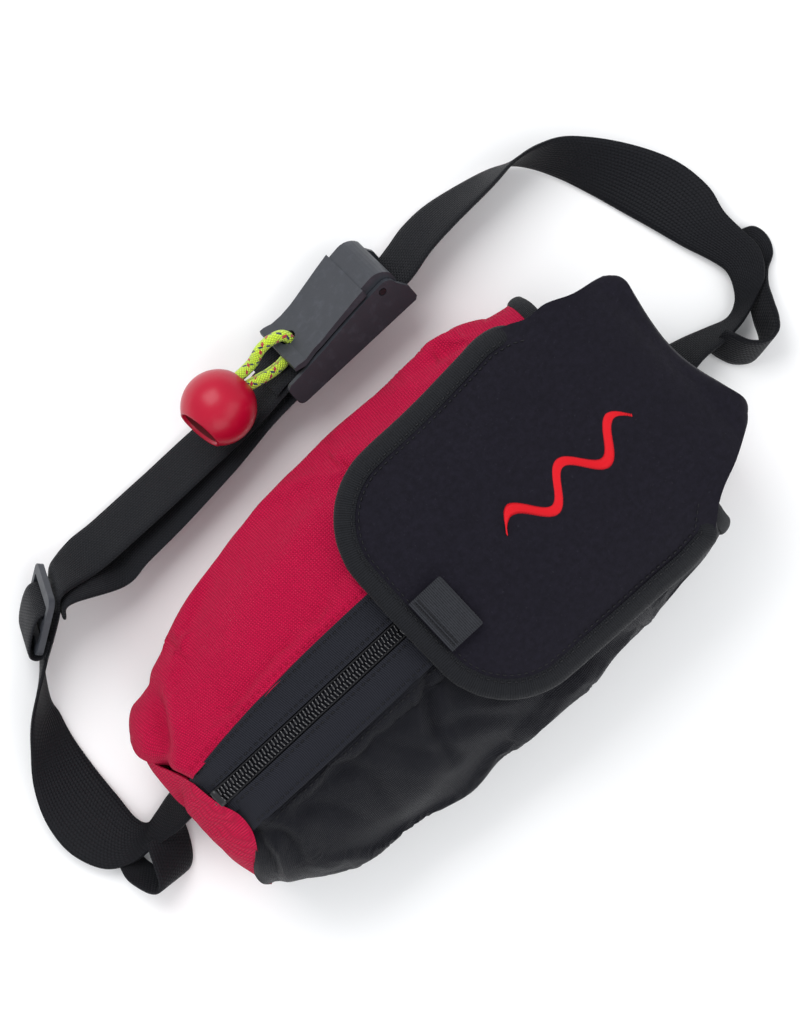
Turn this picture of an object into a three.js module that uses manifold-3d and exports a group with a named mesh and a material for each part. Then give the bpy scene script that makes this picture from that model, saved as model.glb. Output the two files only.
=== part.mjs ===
// Waist throw rope bag: a rope pouch on a webbing belt with a cam buckle and a ball-ended release cord.
// Millimetres, +Z up. The origin is on the pouch's flat wear face. +X runs towards the pouch's mouth,
// and the belt loop lies beside the pouch on its +Y side.
import * as THREE from 'three';
import { mergeVertices } from 'three/addons/utils/BufferGeometryUtils.js';
import Module from 'manifold-3d';

const DEG = Math.PI / 180;
const GAP = 0.35;

// Webbing and cord
const WEBBING_WIDTH = 25.4;
const WEBBING_THICK = 1.6;
const CORD_RADIUS = 2.5;

// Pouch
const POUCH_Y = 6.5;
const POUCH_END_X = -141;
const RIM_X = 98;
const FLOOR_END_X = 118;
const WALL = 2;
const SECTION_Z = 36;
const SECTION_POWER = 2.5;
const SECTION_DEPTH_BELOW = 44;
const BACK_THICK = 1.6;
const FLOOR_Z = BACK_THICK + WEBBING_THICK + 2 * GAP;
const SIDE_SEAM_ANGLE = 117;
const END_WALL = 3;

// Zip
const ZIP_Y = 4.5;
const ZIP_START_X = -129;
const ZIP_END_X = 62;
const ZIP_Z = 79.4;
const ZIP_GAP = 1.6;
const COIL_WIDTH = 2.5;
const COIL_HEIGHT = 2.1;
const TAPE_WIDTH = 9;
const FACING_RED_Y = 22.4;
const FACING_BLACK_Y = -13.4;

// Flap
const FLAP_Y = 6;
const FLAP_FRONT_X = -26;
const FLAP_REAR_X = 129.2;
const FLAP_THICK = 3.2;
const FLAP_CORNER = 38;
const FLAP_HALF_WIDTH = 63;
const FOLD_HALF_WIDTH = 40;

// Buckle, in its own frame: x along the belt, y across it, z out of its top
const BUCKLE_ORIGIN = [5, 112, 13.4];
const BUCKLE_ROLL = -48 * DEG;
const BUCKLE_LENGTH = 68;
const BUCKLE_HALF_WIDTH = 17.5;
const CHEEK = 2;
const PIVOT_X = 58;
const PIVOT_Z = 15.4;
const PIN_RADIUS = 1.5;
const ANCHOR_X = 4.5;
const ANCHOR_Z = 3;
const ANCHOR_RADIUS = 2;
const LEVER_HALF_WIDTH = BUCKLE_HALF_WIDTH - CHEEK - 0.4;
const CORD_HOLE_X = 16;
const CORD_HOLE_Y = 2;

// Release ball
const BALL_RADIUS = 16.2;
const BALL_CENTRE = [-20.4, 123.6, 30.4];
const BALL_MOUTH = [-0.97, -0.12, 0.2];
const BALL_MOUTH_RADIUS = 9.5;

const wasm = await Module();
wasm.setup();

const group = new THREE.Group();

const FINISH = {
  redCloth: { color: '#b80f33', roughness: 0.85, metalness: 0 },
  blackCloth: { color: '#1c1c22', roughness: 0.85, metalness: 0 },
  neoprene: { color: '#1d1c24', roughness: 0.95, metalness: 0 },
  webbing: { color: '#24252c', roughness: 0.8, metalness: 0 },
  binding: { color: '#202026', roughness: 0.85, metalness: 0 },
  zip: { color: '#15151a', roughness: 0.45, metalness: 0 },
  buckle: { color: '#3b3d45', roughness: 0.45, metalness: 0 },
  pin: { color: '#8c8f94', roughness: 0.3, metalness: 1 },
  ball: { color: '#c00f30', roughness: 0.25, metalness: 0 },
  cord: { color: '#d6f03c', roughness: 0.7, metalness: 0 },
  rope: { color: '#e8c531', roughness: 0.8, metalness: 0 },
  foam: { color: '#e9e6df', roughness: 0.9, metalness: 0 },
};

// ---------------------------------------------------------------- helpers

function signedVolume(geometry) {
  const p = geometry.getAttribute('position');
  const index = geometry.getIndex().array;
  const a = new THREE.Vector3();
  const b = new THREE.Vector3();
  const c = new THREE.Vector3();
  let volume = 0;
  for (let i = 0; i < index.length; i += 3) {
    a.fromBufferAttribute(p, index[i]);
    b.fromBufferAttribute(p, index[i + 1]);
    c.fromBufferAttribute(p, index[i + 2]);
    volume += a.dot(b.cross(c)) / 6;
  }
  return volume;
}

// One closed body with merged vertices and its faces pointing out
function closed(geometry) {
  const bare = geometry.clone();
  bare.deleteAttribute('normal');
  bare.deleteAttribute('uv');
  const merged = mergeVertices(bare, 1e-4);
  if (signedVolume(merged) < 0) {
    const index = merged.getIndex().array;
    for (let i = 0; i < index.length; i += 3) {
      const kept = index[i];
      index[i] = index[i + 1];
      index[i + 1] = kept;
    }
  }
  merged.computeVertexNormals();
  return merged;
}

function add(name, geometry, finish, parent = group) {
  const mesh = new THREE.Mesh(closed(geometry), new THREE.MeshStandardMaterial(FINISH[finish]));
  mesh.name = name;
  parent.add(mesh);
  return mesh;
}

// A box whose corners and steps are carried by map(u, v, w), each from 0 to 1
function bentBox(stepsU, stepsV, stepsW, map) {
  const geometry = new THREE.BoxGeometry(1, 1, 1, stepsU, stepsV, stepsW);
  const p = geometry.getAttribute('position');
  for (let i = 0; i < p.count; i += 1) {
    const at = map(p.getX(i) + 0.5, p.getY(i) + 0.5, p.getZ(i) + 0.5);
    p.setXYZ(i, at[0], at[1], at[2]);
  }
  return geometry;
}

function box(low, high) {
  const size = high.map((value, i) => value - low[i]);
  const geometry = new THREE.BoxGeometry(size[0], size[1], size[2]);
  return geometry.translate(low[0] + size[0] / 2, low[1] + size[1] / 2, low[2] + size[2] / 2);
}

// A smooth height or width along X through a few [x, value] points
function along(points) {
  return (x) => {
    const last = points.length - 1;
    if (x <= points[0][0]) return points[0][1];
    if (x >= points[last][0]) return points[last][1];
    let i = 0;
    while (points[i + 1][0] < x) i += 1;
    const span = points[i + 1][0] - points[i][0];
    const slope = (k) => {
      const before = points[Math.max(k - 1, 0)];
      const after = points[Math.min(k + 1, last)];
      return (after[1] - before[1]) / (after[0] - before[0]);
    };
    const t = (x - points[i][0]) / span;
    const t2 = t * t;
    const t3 = t2 * t;
    return (2 * t3 - 3 * t2 + 1) * points[i][1]
      + (t3 - 2 * t2 + t) * slope(i) * span
      + (3 * t2 - 2 * t3) * points[i + 1][1]
      + (t3 - t2) * slope(i + 1) * span;
  };
}

function curveThrough(points) {
  return new THREE.CatmullRomCurve3(points.map((q) => new THREE.Vector3(...q)), false, 'centripetal');
}

// Flat webbing between two edges, each given as points in step with the other
function ribbon(edgeA, edgeB, steps, thick = WEBBING_THICK) {
  const a = curveThrough(edgeA);
  const b = curveThrough(edgeB);
  const frameAt = (u) => {
    const tangent = a.getTangent(u).add(b.getTangent(u)).normalize();
    const across = b.getPoint(u).sub(a.getPoint(u)).normalize();
    return tangent.cross(across).normalize();
  };
  return bentBox(steps, 2, 1, (u, v, w) => {
    const at = a.getPoint(u).lerp(b.getPoint(u), v);
    return at.addScaledVector(frameAt(u), (w - 0.5) * thick).toArray();
  });
}

// Webbing on edge or flat along a plane path of [x, z] points, spanning y from low to high
function strapAlong(path, low, high, steps, thick = WEBBING_THICK) {
  const at = (y) => path.map(([x, z]) => [x, y, z]);
  return ribbon(at(low), at(high), steps, thick);
}

function tube(points, radius, sides, steps) {
  const outline = new THREE.Shape();
  outline.absarc(0, 0, radius, 0, 2 * Math.PI, false);
  return new THREE.ExtrudeGeometry(outline, {
    curveSegments: sides / 2,
    steps,
    bevelEnabled: false,
    extrudePath: curveThrough(points),
  });
}

function cylinderY(radius, length, segments = 24) {
  return new THREE.CylinderGeometry(radius, radius, length, segments);
}

// A plane outline of [x, z] points, extruded across y from -half to +half
function platesY(outline, half) {
  const shape = new THREE.Shape(outline.map(([x, z]) => new THREE.Vector2(x, z)));
  const geometry = new THREE.ExtrudeGeometry(shape, { depth: 2 * half, bevelEnabled: false });
  return geometry.rotateX(Math.PI / 2).translate(0, half, 0);
}

function solid(geometry) {
  const body = closed(geometry);
  return new wasm.Manifold(new wasm.Mesh({
    numProp: 3,
    vertProperties: new Float32Array(body.getAttribute('position').array),
    triVerts: new Uint32Array(body.getIndex().array),
  }));
}

function toGeometry(manifold) {
  const mesh = manifold.getMesh();
  const geometry = new THREE.BufferGeometry();
  geometry.setAttribute('position', new THREE.BufferAttribute(new Float32Array(mesh.vertProperties), 3));
  geometry.setIndex(new THREE.BufferAttribute(new Uint32Array(mesh.triVerts), 1));
  return geometry;
}

function arc(cx, cz, radius, from, to, steps) {
  const points = [];
  for (let i = 0; i <= steps; i += 1) {
    const angle = (from + ((to - from) * i) / steps) * DEG;
    points.push([cx + radius * Math.cos(angle), cz + radius * Math.sin(angle)]);
  }
  return points;
}

// ---------------------------------------------------------------- pouch

const halfWidth = along([
  [-141, 44], [-128, 52], [-105, 61], [-70, 68], [-30, 73], [20, 73.5], [70, 71], [104, 64.5],
]);
const crest = along([[-141, 66], [-133, 76.5], [-122, 82], [-100, 84.5], [0, 85], [60, 84.5], [104, 81.5]]);

// A point on the pouch's section at x, at an angle from straight up towards +Y, moved out by offset
function section(x, angle, offset = 0) {
  const s = Math.sin(angle * DEG);
  const c = Math.cos(angle * DEG);
  const wide = halfWidth(x) + offset;
  const tall = (c >= 0 ? crest(x) - SECTION_Z : SECTION_DEPTH_BELOW) + offset;
  const sum = Math.abs(s / wide) ** SECTION_POWER + Math.abs(c / tall) ** SECTION_POWER;
  const radius = sum ** (-1 / SECTION_POWER);
  return [x, POUCH_Y + radius * s, SECTION_Z + radius * c];
}

// The angle at which the section passes over a given y
function angleOver(x, y) {
  const wide = Math.min(Math.abs(y - POUCH_Y) / halfWidth(x), 1);
  const z = (crest(x) - SECTION_Z) * (1 - wide ** SECTION_POWER) ** (1 / SECTION_POWER);
  return Math.atan2(y - POUCH_Y, z) / DEG;
}

function wallPanel(fromX, toX, fromAngle, toAngle, inner, outer, stepsX, stepsA) {
  return bentBox(stepsX, stepsA, 1, (u, v, w) => {
    const x = fromX + (toX - fromX) * u;
    const a = fromAngle(x) + (toAngle(x) - fromAngle(x)) * v;
    return section(x, a, inner + (outer - inner) * w);
  });
}

const fixed = (angle) => () => angle;
const SEAM_RED = (x) => angleOver(x, FACING_RED_Y + 1.6);
const SEAM_BLACK = (x) => angleOver(x, FACING_BLACK_Y - 1.6);

add(
  'pouch_red_panel', wallPanel(POUCH_END_X, RIM_X, SEAM_RED, fixed(SIDE_SEAM_ANGLE), -WALL, 0, 22, 12),
  'redCloth',
);
add(
  'pouch_black_panel',
  wallPanel(POUCH_END_X, RIM_X, SEAM_BLACK, fixed(-SIDE_SEAM_ANGLE), -WALL, 0, 22, 12), 'blackCloth',
);

// A flat panel under the pouch, following its plan outline
function plate(fromX, toX, share, lowZ, highZ, steps) {
  return bentBox(steps, 1, 1, (u, v, w) => {
    const x = fromX + (toX - fromX) * u;
    const half = share * halfWidth(Math.min(x, 104)) * (x > 104 ? 1 - (x - 104) * 0.018 : 1);
    return [x, POUCH_Y + (2 * v - 1) * half, lowZ + (highZ - lowZ) * w];
  });
}

add('pouch_back_panel', plate(-138, FLOOR_END_X, 0.82, 0, BACK_THICK, 16), 'blackCloth');
add('pouch_floor', plate(-138, FLOOR_END_X - 1, 0.8, FLOOR_Z, FLOOR_Z + WALL - 0.4, 16), 'blackCloth');

// The closed end: a slightly domed panel set outside the walls
add('pouch_end_panel', bentBox(10, 10, 1, (u, v, w) => {
  const p = 2 * u - 1;
  const q = 2 * v - 1;
  const y = p * Math.sqrt(1 - (q * q) / 2);
  const z = q * Math.sqrt(1 - (p * p) / 2);
  const wide = halfWidth(POUCH_END_X) - 0.5;
  const up = crest(POUCH_END_X) - SECTION_Z - 0.5;
  const down = SECTION_Z - BACK_THICK - GAP;
  const bulge = 2.6 * (1 - p * p) * (1 - q * q);
  const x = POUCH_END_X - GAP - END_WALL * w - bulge;
  return [x, POUCH_Y + wide * y, SECTION_Z + (z > 0 ? up : down) * z];
}), 'redCloth');

// Bound rim round the mouth
for (const [name, seam, side] of [['mouth_rim_red', SEAM_RED, 1], ['mouth_rim_black', SEAM_BLACK, -1]]) {
  add(name, bentBox(3, 12, 1, (u, v, w) => {
    const x = RIM_X + GAP + 5.5 * u;
    const from = seam(RIM_X);
    const a = from + (side * SIDE_SEAM_ANGLE - from) * v;
    return section(x, a, -WALL - 0.5 + (WALL + 1.2) * w);
  }), 'binding');
}

// ---------------------------------------------------------------- zip

const tapeEdge = ZIP_GAP / 2;
const FACING_TOP = ZIP_Z + 2.1;
const facing = (fromY, toY) => box(
  [ZIP_START_X, fromY, ZIP_Z + GAP], [ZIP_END_X + 4, toY, FACING_TOP - 0.3],
);
const coilOuter = tapeEdge + COIL_WIDTH;
add('zip_facing_red_side', facing(ZIP_Y + coilOuter + 1.2, FACING_RED_Y), 'binding');
add('zip_facing_black_side', facing(FACING_BLACK_Y, ZIP_Y - coilOuter - 1.2), 'binding');
for (const [name, side] of [['red_side', 1], ['black_side', -1]]) {
  const y0 = ZIP_Y + side * tapeEdge;
  const spanY = (w) => [Math.min(y0, y0 + side * w), Math.max(y0, y0 + side * w)];
  const [tapeLow, tapeHigh] = spanY(TAPE_WIDTH);
  const [coilLow, coilHigh] = spanY(COIL_WIDTH);
  add(`zip_tape_${name}`, box([ZIP_START_X, tapeLow, ZIP_Z - 1], [ZIP_END_X, tapeHigh, ZIP_Z]), 'binding');
  add(`zip_coil_${name}`, bentBox(1, 4, 1, (u, v, w) => {
    const half = 0.55 + 0.45 * Math.sin(Math.PI * v);
    const x = ZIP_START_X + 2 + (ZIP_END_X - ZIP_START_X - 4) * u;
    return [x, coilLow + (coilHigh - coilLow) * v, ZIP_Z + GAP + COIL_HEIGHT * half * w];
  }), 'zip');
}
add(
  'zip_bottom_stop',
  box([ZIP_START_X - 3, ZIP_Y - 3.6, ZIP_Z + GAP], [ZIP_START_X + 1.4, ZIP_Y + 3.6, ZIP_Z + 2.6]),
  'zip',
);
add(
  'pouch_top_band',
  box([ZIP_END_X + 4.4, FACING_BLACK_Y, ZIP_Z - 1], [RIM_X, FACING_RED_Y, ZIP_Z + 0.6]), 'blackCloth',
);

const SLIDER_X = 48;
const SLIDER_LENGTH = 11;
const sliderTop = ZIP_Z + GAP + COIL_HEIGHT + 0.5;
const sliderParts = [
  box([SLIDER_X, ZIP_Y - 5, sliderTop], [SLIDER_X + SLIDER_LENGTH, ZIP_Y + 5, sliderTop + 1]),
  box([SLIDER_X, ZIP_Y - 5, ZIP_Z - 2.6], [SLIDER_X + SLIDER_LENGTH, ZIP_Y + 5, ZIP_Z - 1.5]),
  box(
    [SLIDER_X + 7, ZIP_Y - 0.45, ZIP_Z - 2],
    [SLIDER_X + SLIDER_LENGTH - 1, ZIP_Y + 0.45, sliderTop + 0.5],
  ),
  box([SLIDER_X + 2, ZIP_Y - 1, sliderTop + 0.5], [SLIDER_X + 3.2, ZIP_Y + 1, sliderTop + 2.4]),
];
const slider = sliderParts.map(solid).reduce((whole, piece) => whole.add(piece));
add('zip_slider', toGeometry(slider), 'zip');
const pullerHole = new THREE.Path();
pullerHole.absellipse(SLIDER_X + 2.6, ZIP_Y, 1.6, 2.1, 0, 2 * Math.PI, true);
const pullerShape = new THREE.Shape();
pullerShape.moveTo(SLIDER_X + 6, ZIP_Y - 3.2);
pullerShape.lineTo(SLIDER_X + 6, ZIP_Y + 3.2);
pullerShape.lineTo(SLIDER_X - 16, ZIP_Y + 2.6);
pullerShape.lineTo(SLIDER_X - 18, ZIP_Y);
pullerShape.lineTo(SLIDER_X - 16, ZIP_Y - 2.6);
pullerShape.closePath();
pullerShape.holes.push(pullerHole);
const puller = new THREE.ExtrudeGeometry(
  pullerShape, { depth: 0.9, bevelEnabled: false, curveSegments: 12 },
);
add('zip_puller', puller.translate(0, 0, sliderTop + 1 + GAP), 'zip');

// ---------------------------------------------------------------- flap

const flapCrest = along([[-26, 88.4], [0, 88.7], [60, 88.1], [96, 85.4], [115, 80], [129.2, 74]]);
const flapBend = along([[-26, 76], [20, 77.5], [70, 75], [100, 72], [129.2, 120]]);

function flapHalf(x) {
  const front = FLAP_FRONT_X + FLAP_CORNER;
  if (x < front) {
    const t = (front - x) / FLAP_CORNER;
    return FLAP_HALF_WIDTH - FLAP_CORNER * (1 - Math.sqrt(Math.max(1 - t * t, 0)));
  }
  return along([
    [front, FLAP_HALF_WIDTH], [90, FLAP_HALF_WIDTH - 0.5], [106, 55], [118, 47],
    [129.2, FOLD_HALF_WIDTH],
  ])(x);
}

// Height of the flap's underside, raised by lift
function flapZ(x, y, lift) {
  const wide = Math.min(Math.abs(y - FLAP_Y) / flapBend(x), 1);
  const tall = flapCrest(x) - SECTION_Z;
  return SECTION_Z + lift + tall * (1 - wide ** SECTION_POWER) ** (1 / SECTION_POWER);
}

// Lateral steps follow the curved front, so the corners stay round
const frontToRear = (u) => {
  const share = (u < 0.35 ? (u * u) / 0.7 : u - 0.175) / 0.825;
  return FLAP_FRONT_X + (FLAP_REAR_X - FLAP_FRONT_X) * share;
};
const flapSheet = solid(bentBox(22, 16, 1, (u, v, w) => {
  const x = frontToRear(u);
  const y = FLAP_Y + (2 * v - 1) * (flapHalf(x) - 2.2);
  return [x + (u === 0 ? 2.2 : 0), y, flapZ(x, y, FLAP_THICK * w)];
}));

// Binding tape folded over the flap's edge, from the fold along one side, round the front and back
const sideStations = [122, 106, 90, 60, 30, FLAP_FRONT_X + FLAP_CORNER];
const cornerStations = [60, 45, 30, 15, 0].map(
  (at) => FLAP_FRONT_X + FLAP_CORNER * (1 - Math.cos(at * DEG)),
);
const halfOutline = [...sideStations, ...cornerStations];
const edgeCurve = curveThrough([
  ...halfOutline.map((x) => [x, FLAP_Y + flapHalf(x), 0]),
  ...[...halfOutline].reverse().map((x) => [x, FLAP_Y - flapHalf(x), 0]),
]);
const BINDING_INSIDE = 3.2;
const BINDING_PROUD = 0.6;
function bindingTape(grow) {
  return bentBox(48, 1, 1, (u, v, w) => {
    const at = edgeCurve.getPoint(u);
    const inward = edgeCurve.getTangent(u).cross(new THREE.Vector3(0, 0, 1));
    if (inward.dot(new THREE.Vector3(45 - at.x, FLAP_Y - at.y, 0)) < 0) inward.negate();
    at.addScaledVector(inward, (BINDING_INSIDE + grow) * v - 0.4 * (1 - v) - grow * (1 - v));
    const deep = FLAP_THICK + 2 * (BINDING_PROUD + grow);
    return [at.x, at.y, flapZ(Math.max(at.x, FLAP_FRONT_X), at.y, deep * w - BINDING_PROUD - grow)];
  });
}
// The tape's end caps stand square, so the cut behind each one is left a little longer
const endCuts = [1, -1].map((side) => solid(box(
  [121, FLAP_Y + side * flapHalf(122) - 5, 60],
  [122.6, FLAP_Y + side * flapHalf(122) + 5, 95],
)));
const flapBody = endCuts.reduce(
  (body, cut) => body.subtract(cut), flapSheet.subtract(solid(bindingTape(GAP))),
);
const flapPieces = flapBody.decompose().sort((a, b) => b.volume() - a.volume());
add('flap', toGeometry(flapPieces[0]), 'neoprene');
add('flap_binding', bindingTape(0), 'binding');

// Pull tab: a doubled stub of webbing sewn on the flap beside the front binding
const TAB_X = -16.5;
const TAB_TOP = flapZ(TAB_X, -3, FLAP_THICK) + 0.35;
add('flap_pull_tab', strapAlong([
  [TAB_X, TAB_TOP + 1], [-10, TAB_TOP + 1.2], [-4, TAB_TOP + 1.9], [-1.4, TAB_TOP + 3.2],
  [-3, TAB_TOP + 4.8], [-9, TAB_TOP + 3.8], [TAB_X, TAB_TOP + 3.1],
], -16.2, 9.8, 24, 1.3), 'webbing');

// A generic wave in raised thread
const wave = [];
for (let i = 0; i <= 24; i += 1) {
  const x = 34 + 64 * (i / 24);
  const y = 4 + 5 * Math.sin((i / 24) * 4 * Math.PI);
  wave.push([x, y, flapZ(x, y, FLAP_THICK) + 0.9]);
}
add('flap_emblem', tube(wave, 0.55, 6, 40), 'redCloth');

// Hook patches under the flap and loop patches on the pouch
for (const [name, side] of [['red_side', 1], ['black_side', -1]]) {
  const from = fixed(side * 26);
  const to = fixed(side * 46);
  add(`loop_patch_${name}`, wallPanel(-14, 20, from, to, GAP, 1.3, 4, 4), 'binding');
  add(`hook_patch_${name}`, bentBox(4, 4, 1, (u, v, w) => {
    const [x, y] = section(-12 + 30 * u, side * (27 + 18 * v));
    return [x, y, flapZ(x, y, -GAP - 1 + w)];
  }), 'binding');
}

// End panel of the flap: from the floor's edge up to the fold, its two upper corners drawn out
const endProfile = curveThrough([
  [118.6, 0, 5.6], [125, 0, 13], [130, 0, 28], [131.8, 0, 44], [131.4, 0, 58], [130.4, 0, 69],
]);
add('flap_end_panel', bentBox(10, 10, 1, (u, v, w) => {
  const at = endProfile.getPoint(u);
  const half = 36 + (FOLD_HALF_WIDTH - 36) * u;
  const side = 2 * v - 1;
  const corner = 5.5 * Math.abs(side) ** 3 * u * u;
  return [at.x + corner + FLAP_THICK * w, FLAP_Y + 6.5 * u + side * half, at.z];
}), 'neoprene');

// ---------------------------------------------------------------- rope bag inside the pouch

const GATHER_X = 88;
const NECK_X = 110;
const NECK_SHARE = 0.3;

// The rope bag narrows from its body to the neck that its drawcord closes
function gather(x) {
  const t = Math.min(Math.max((x - GATHER_X) / (NECK_X - 6 - GATHER_X), 0), 1);
  return 1 - (1 - NECK_SHARE) * t * t * (3 - 2 * t);
}

// A filled section of the rope bag, moved in from the pouch's walls by inset
function inside(fromX, toX, inset, steps, around) {
  const down = SECTION_Z - FLOOR_Z - WALL - 0.6 - (inset - 8);
  return bentBox(steps, around, around, (u, v, w) => {
    const bodyEnd = Math.min(toX, GATHER_X);
    const x = u < 0.5 ? fromX + (bodyEnd - fromX) * 2 * u : bodyEnd + (toX - bodyEnd) * (2 * u - 1);
    const p = 2 * v - 1;
    const q = 2 * w - 1;
    const y = p * Math.sqrt(1 - (q * q) / 2);
    const z = q * Math.sqrt(1 - (p * p) / 2);
    const share = gather(x);
    const wide = (halfWidth(Math.min(x, 96)) - inset) * share;
    const up = (Math.min(crest(Math.min(x, 96)), ZIP_Z + 1) - SECTION_Z - inset) * share;
    return [x, POUCH_Y + wide * y, SECTION_Z + (z > 0 ? up : down * share) * z];
  });
}

const bagOuter = solid(inside(-126, NECK_X, 8, 16, 6));
const bagInner = solid(inside(-122, NECK_X + 2, 10, 16, 6));
add('throw_bag_shell', toGeometry(bagOuter.subtract(bagInner)), 'redCloth');
add('foam_float', inside(-121, -111, 12, 2, 6), 'foam');
add('rope_pack', inside(-109, GATHER_X - 2, 13, 12, 6), 'rope');

// Drawcord round the bag's neck, its lock and the grab loop
const neckWide = (halfWidth(96) - 8) * NECK_SHARE;
const ring = new THREE.TorusGeometry(1, 1.6 / 18, 6, 28).rotateY(Math.PI / 2).scale(18, neckWide + 3, 16.5);
add('drawcord', ring.translate(NECK_X - 3, POUCH_Y, SECTION_Z + 1.2), 'cord');
const alongX = (radius, length) => new THREE.CylinderGeometry(
  radius, radius, length, 20,
).rotateZ(Math.PI / 2);
const LOCK_Y = POUCH_Y + neckWide + 21;
add('cord_lock', alongX(6, 13).translate(NECK_X - 3, LOCK_Y, SECTION_Z + 2), 'buckle');
add(
  'cord_lock_plunger', alongX(4, 4).translate(NECK_X - 3 + 6.5 + GAP + 2, LOCK_Y, SECTION_Z + 2),
  'buckle',
);
const GRAB_HALF = WEBBING_WIDTH / 2;
add('grab_loop', strapAlong(
  [[111.5, 38], [111.8, 50], [114, 55.5], [117, 52], [116.8, 44], [115, 38]],
  POUCH_Y - GRAB_HALF, POUCH_Y + GRAB_HALF, 16,
), 'webbing');

// ---------------------------------------------------------------- belt

const BELT_Z = BACK_THICK + GAP;
add(
  'belt_in_sleeve',
  box([-136, 8 - WEBBING_WIDTH / 2, BELT_Z], [117.5, 8 + WEBBING_WIDTH / 2, BELT_Z + WEBBING_THICK]),
  'webbing',
);
add('belt_root_left', ribbon(
  [[-147.4, 19, 3], [-156, 17, 2.6], [-166, 13.5, 2.4], [-176, 10.5, 2.2]],
  [[-147.4, 5, 19], [-155, 3.5, 17], [-163, 1.5, 14], [-171, 0.5, 10]],
  8,
), 'webbing');
add('belt_root_right', ribbon(
  [[137, 14.5, 3], [146, 11.5, 2.8], [156, 8, 2.6], [166, 5.6, 2.4]],
  [[137, -2, 19], [145, -1, 17.5], [154, -1.6, 14], [163, -4.5, 10]],
  8,
), 'webbing');

// Gear loops: teardrops of webbing that stand on edge beside the pouch's ends and lean along the belt
const GEAR_LOOP_LOW = 1;
const GEAR_LOOP_HIGH = 24;
function gearLoop(path, lean) {
  const low = path.map(([x, y]) => [x, y, GEAR_LOOP_LOW]);
  const high = path.map(([x, y]) => [x + lean[0], y + lean[1], GEAR_LOOP_HIGH]);
  return ribbon(low, high, 16);
}
add('gear_loop_left', gearLoop([
  [-153.5, -3], [-156, -7.5], [-160.5, -10.5], [-167, -11], [-174, -10.4], [-179, -7.5], [-181, -3],
], [-9, 1]), 'webbing');
add('gear_loop_right', gearLoop([
  [150, -5.2], [151.5, -9.5], [155.5, -14], [161, -16.6], [167, -14.8], [170.5, -9.5], [172.5, -4],
], [9, 1.5]), 'webbing');

// Free loop of the belt. Each strap stands on one edge, so its upper edge crosses over at the twist.
const LEFT_FLOOR_EDGE = [
  [-166, 17, 5.4], [-166, 30, 3], [-165, 50, 1.6], [-163, 65, 1.2], [-160, 76, 1.2], [-157.5, 87, 1.2],
  [-152, 100, 1.2], [-145, 110, 1.4],
];
const LEFT_TOP_EDGE = [
  [-190, 15, 6.6], [-197, 29, 8], [-195, 45, 9.5], [-188, 60, 13], [-179, 71, 18], [-167, 82, 23.5],
  [-157, 89.5, 25], [-151.5, 95.5, 19],
];
add('belt_left', ribbon(LEFT_FLOOR_EDGE, LEFT_TOP_EDGE, 26), 'webbing');

const RIGHT_FLOOR_EDGE = [
  [79, 126, 4.2], [90, 128.2, 2.8], [105, 127.4, 1.8], [128, 122.5, 1.2], [140, 117.5, 1.2],
  [147, 110, 1.2], [153, 97, 1.2],
  [160, 78, 1.5], [167, 57, 2.2], [172, 37, 3.6], [178, 18, 5.6],
];
const RIGHT_TOP_EDGE = [
  [79, 109, 23], [90, 111.4, 22.4], [105, 112.4, 22.3], [128, 113.4, 24.2], [142, 114, 25.6],
  [155, 111, 25], [168, 103.5, 22],
  [182, 86, 14], [192.5, 68, 9], [197, 48, 7.5], [193, 31, 7],
];
add('belt_right', ribbon(RIGHT_FLOOR_EDGE, RIGHT_TOP_EDGE, 36), 'webbing');

// ---------------------------------------------------------------- cam buckle and the straps in it

const buckle = new THREE.Group();
buckle.position.set(...BUCKLE_ORIGIN);
buckle.rotation.set(BUCKLE_ROLL, 0, 0);
group.add(buckle);

const cheekOutline = [
  [3.6, 0], [BUCKLE_LENGTH - 1.5, 0], [BUCKLE_LENGTH, 1.5], [BUCKLE_LENGTH, 8],
  ...arc(PIVOT_X + 2, PIVOT_Z - 1, 4.7, 0, 100, 6),
  [51, 18.4], [44, 17.4], [24, 14.2], [12, 12.9], [5, 12.2],
  ...arc(4, 9, 3.2, 105, 180, 4), ...arc(3.8, 3, 3, 180, 240, 4),
];
const cheek = (side) => solid(platesY(cheekOutline, CHEEK / 2)
  .translate(0, side * (BUCKLE_HALF_WIDTH - CHEEK / 2), 0));
const insideHalf = BUCKLE_HALF_WIDTH - CHEEK;
const baseFloor = solid(box([14, -insideHalf - 0.5, 0], [BUCKLE_LENGTH, insideHalf + 0.5, 2]));
const anchorBar = solid(cylinderY(ANCHOR_RADIUS, 2 * insideHalf + 1, 20).translate(ANCHOR_X, 0, ANCHOR_Z));
const pinBore = solid(cylinderY(PIN_RADIUS + 0.3, 60).translate(PIVOT_X, 0, PIVOT_Z));
let base = cheek(1).add(cheek(-1)).add(baseFloor).add(anchorBar).subtract(pinBore);
for (let i = 0; i < 5; i += 1) {
  const x = 44 + 2.4 * i;
  base = base.add(solid(box([x, -insideHalf - 0.3, 1.5], [x + 1, insideHalf + 0.3, 2.5])));
}
add('buckle_base', toGeometry(base), 'buckle', buckle);

const leverTop = [[8.6, 15.8], [9.2, 17.4], [11.2, 17.4], [15, 16.4], [26, 17.6], [44, 21.6]];
const leverOutline = [
  ...leverTop,
  ...arc(PIVOT_X, PIVOT_Z, 8.2, 95, 20, 6), ...arc(PIVOT_X, PIVOT_Z, 8, -10, -90, 6),
  [PIVOT_X - 3.4, 5.5], [PIVOT_X - 6, 6.6], [PIVOT_X - 8.5, 12],
  [46, 17.4], [24, 14.8], [13.6, 13.8],
];
const leverWide = [...leverTop, [52, 23.2], [52, 19.6], [44, 18.4], [24, 15], [13.6, 14]];
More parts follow.
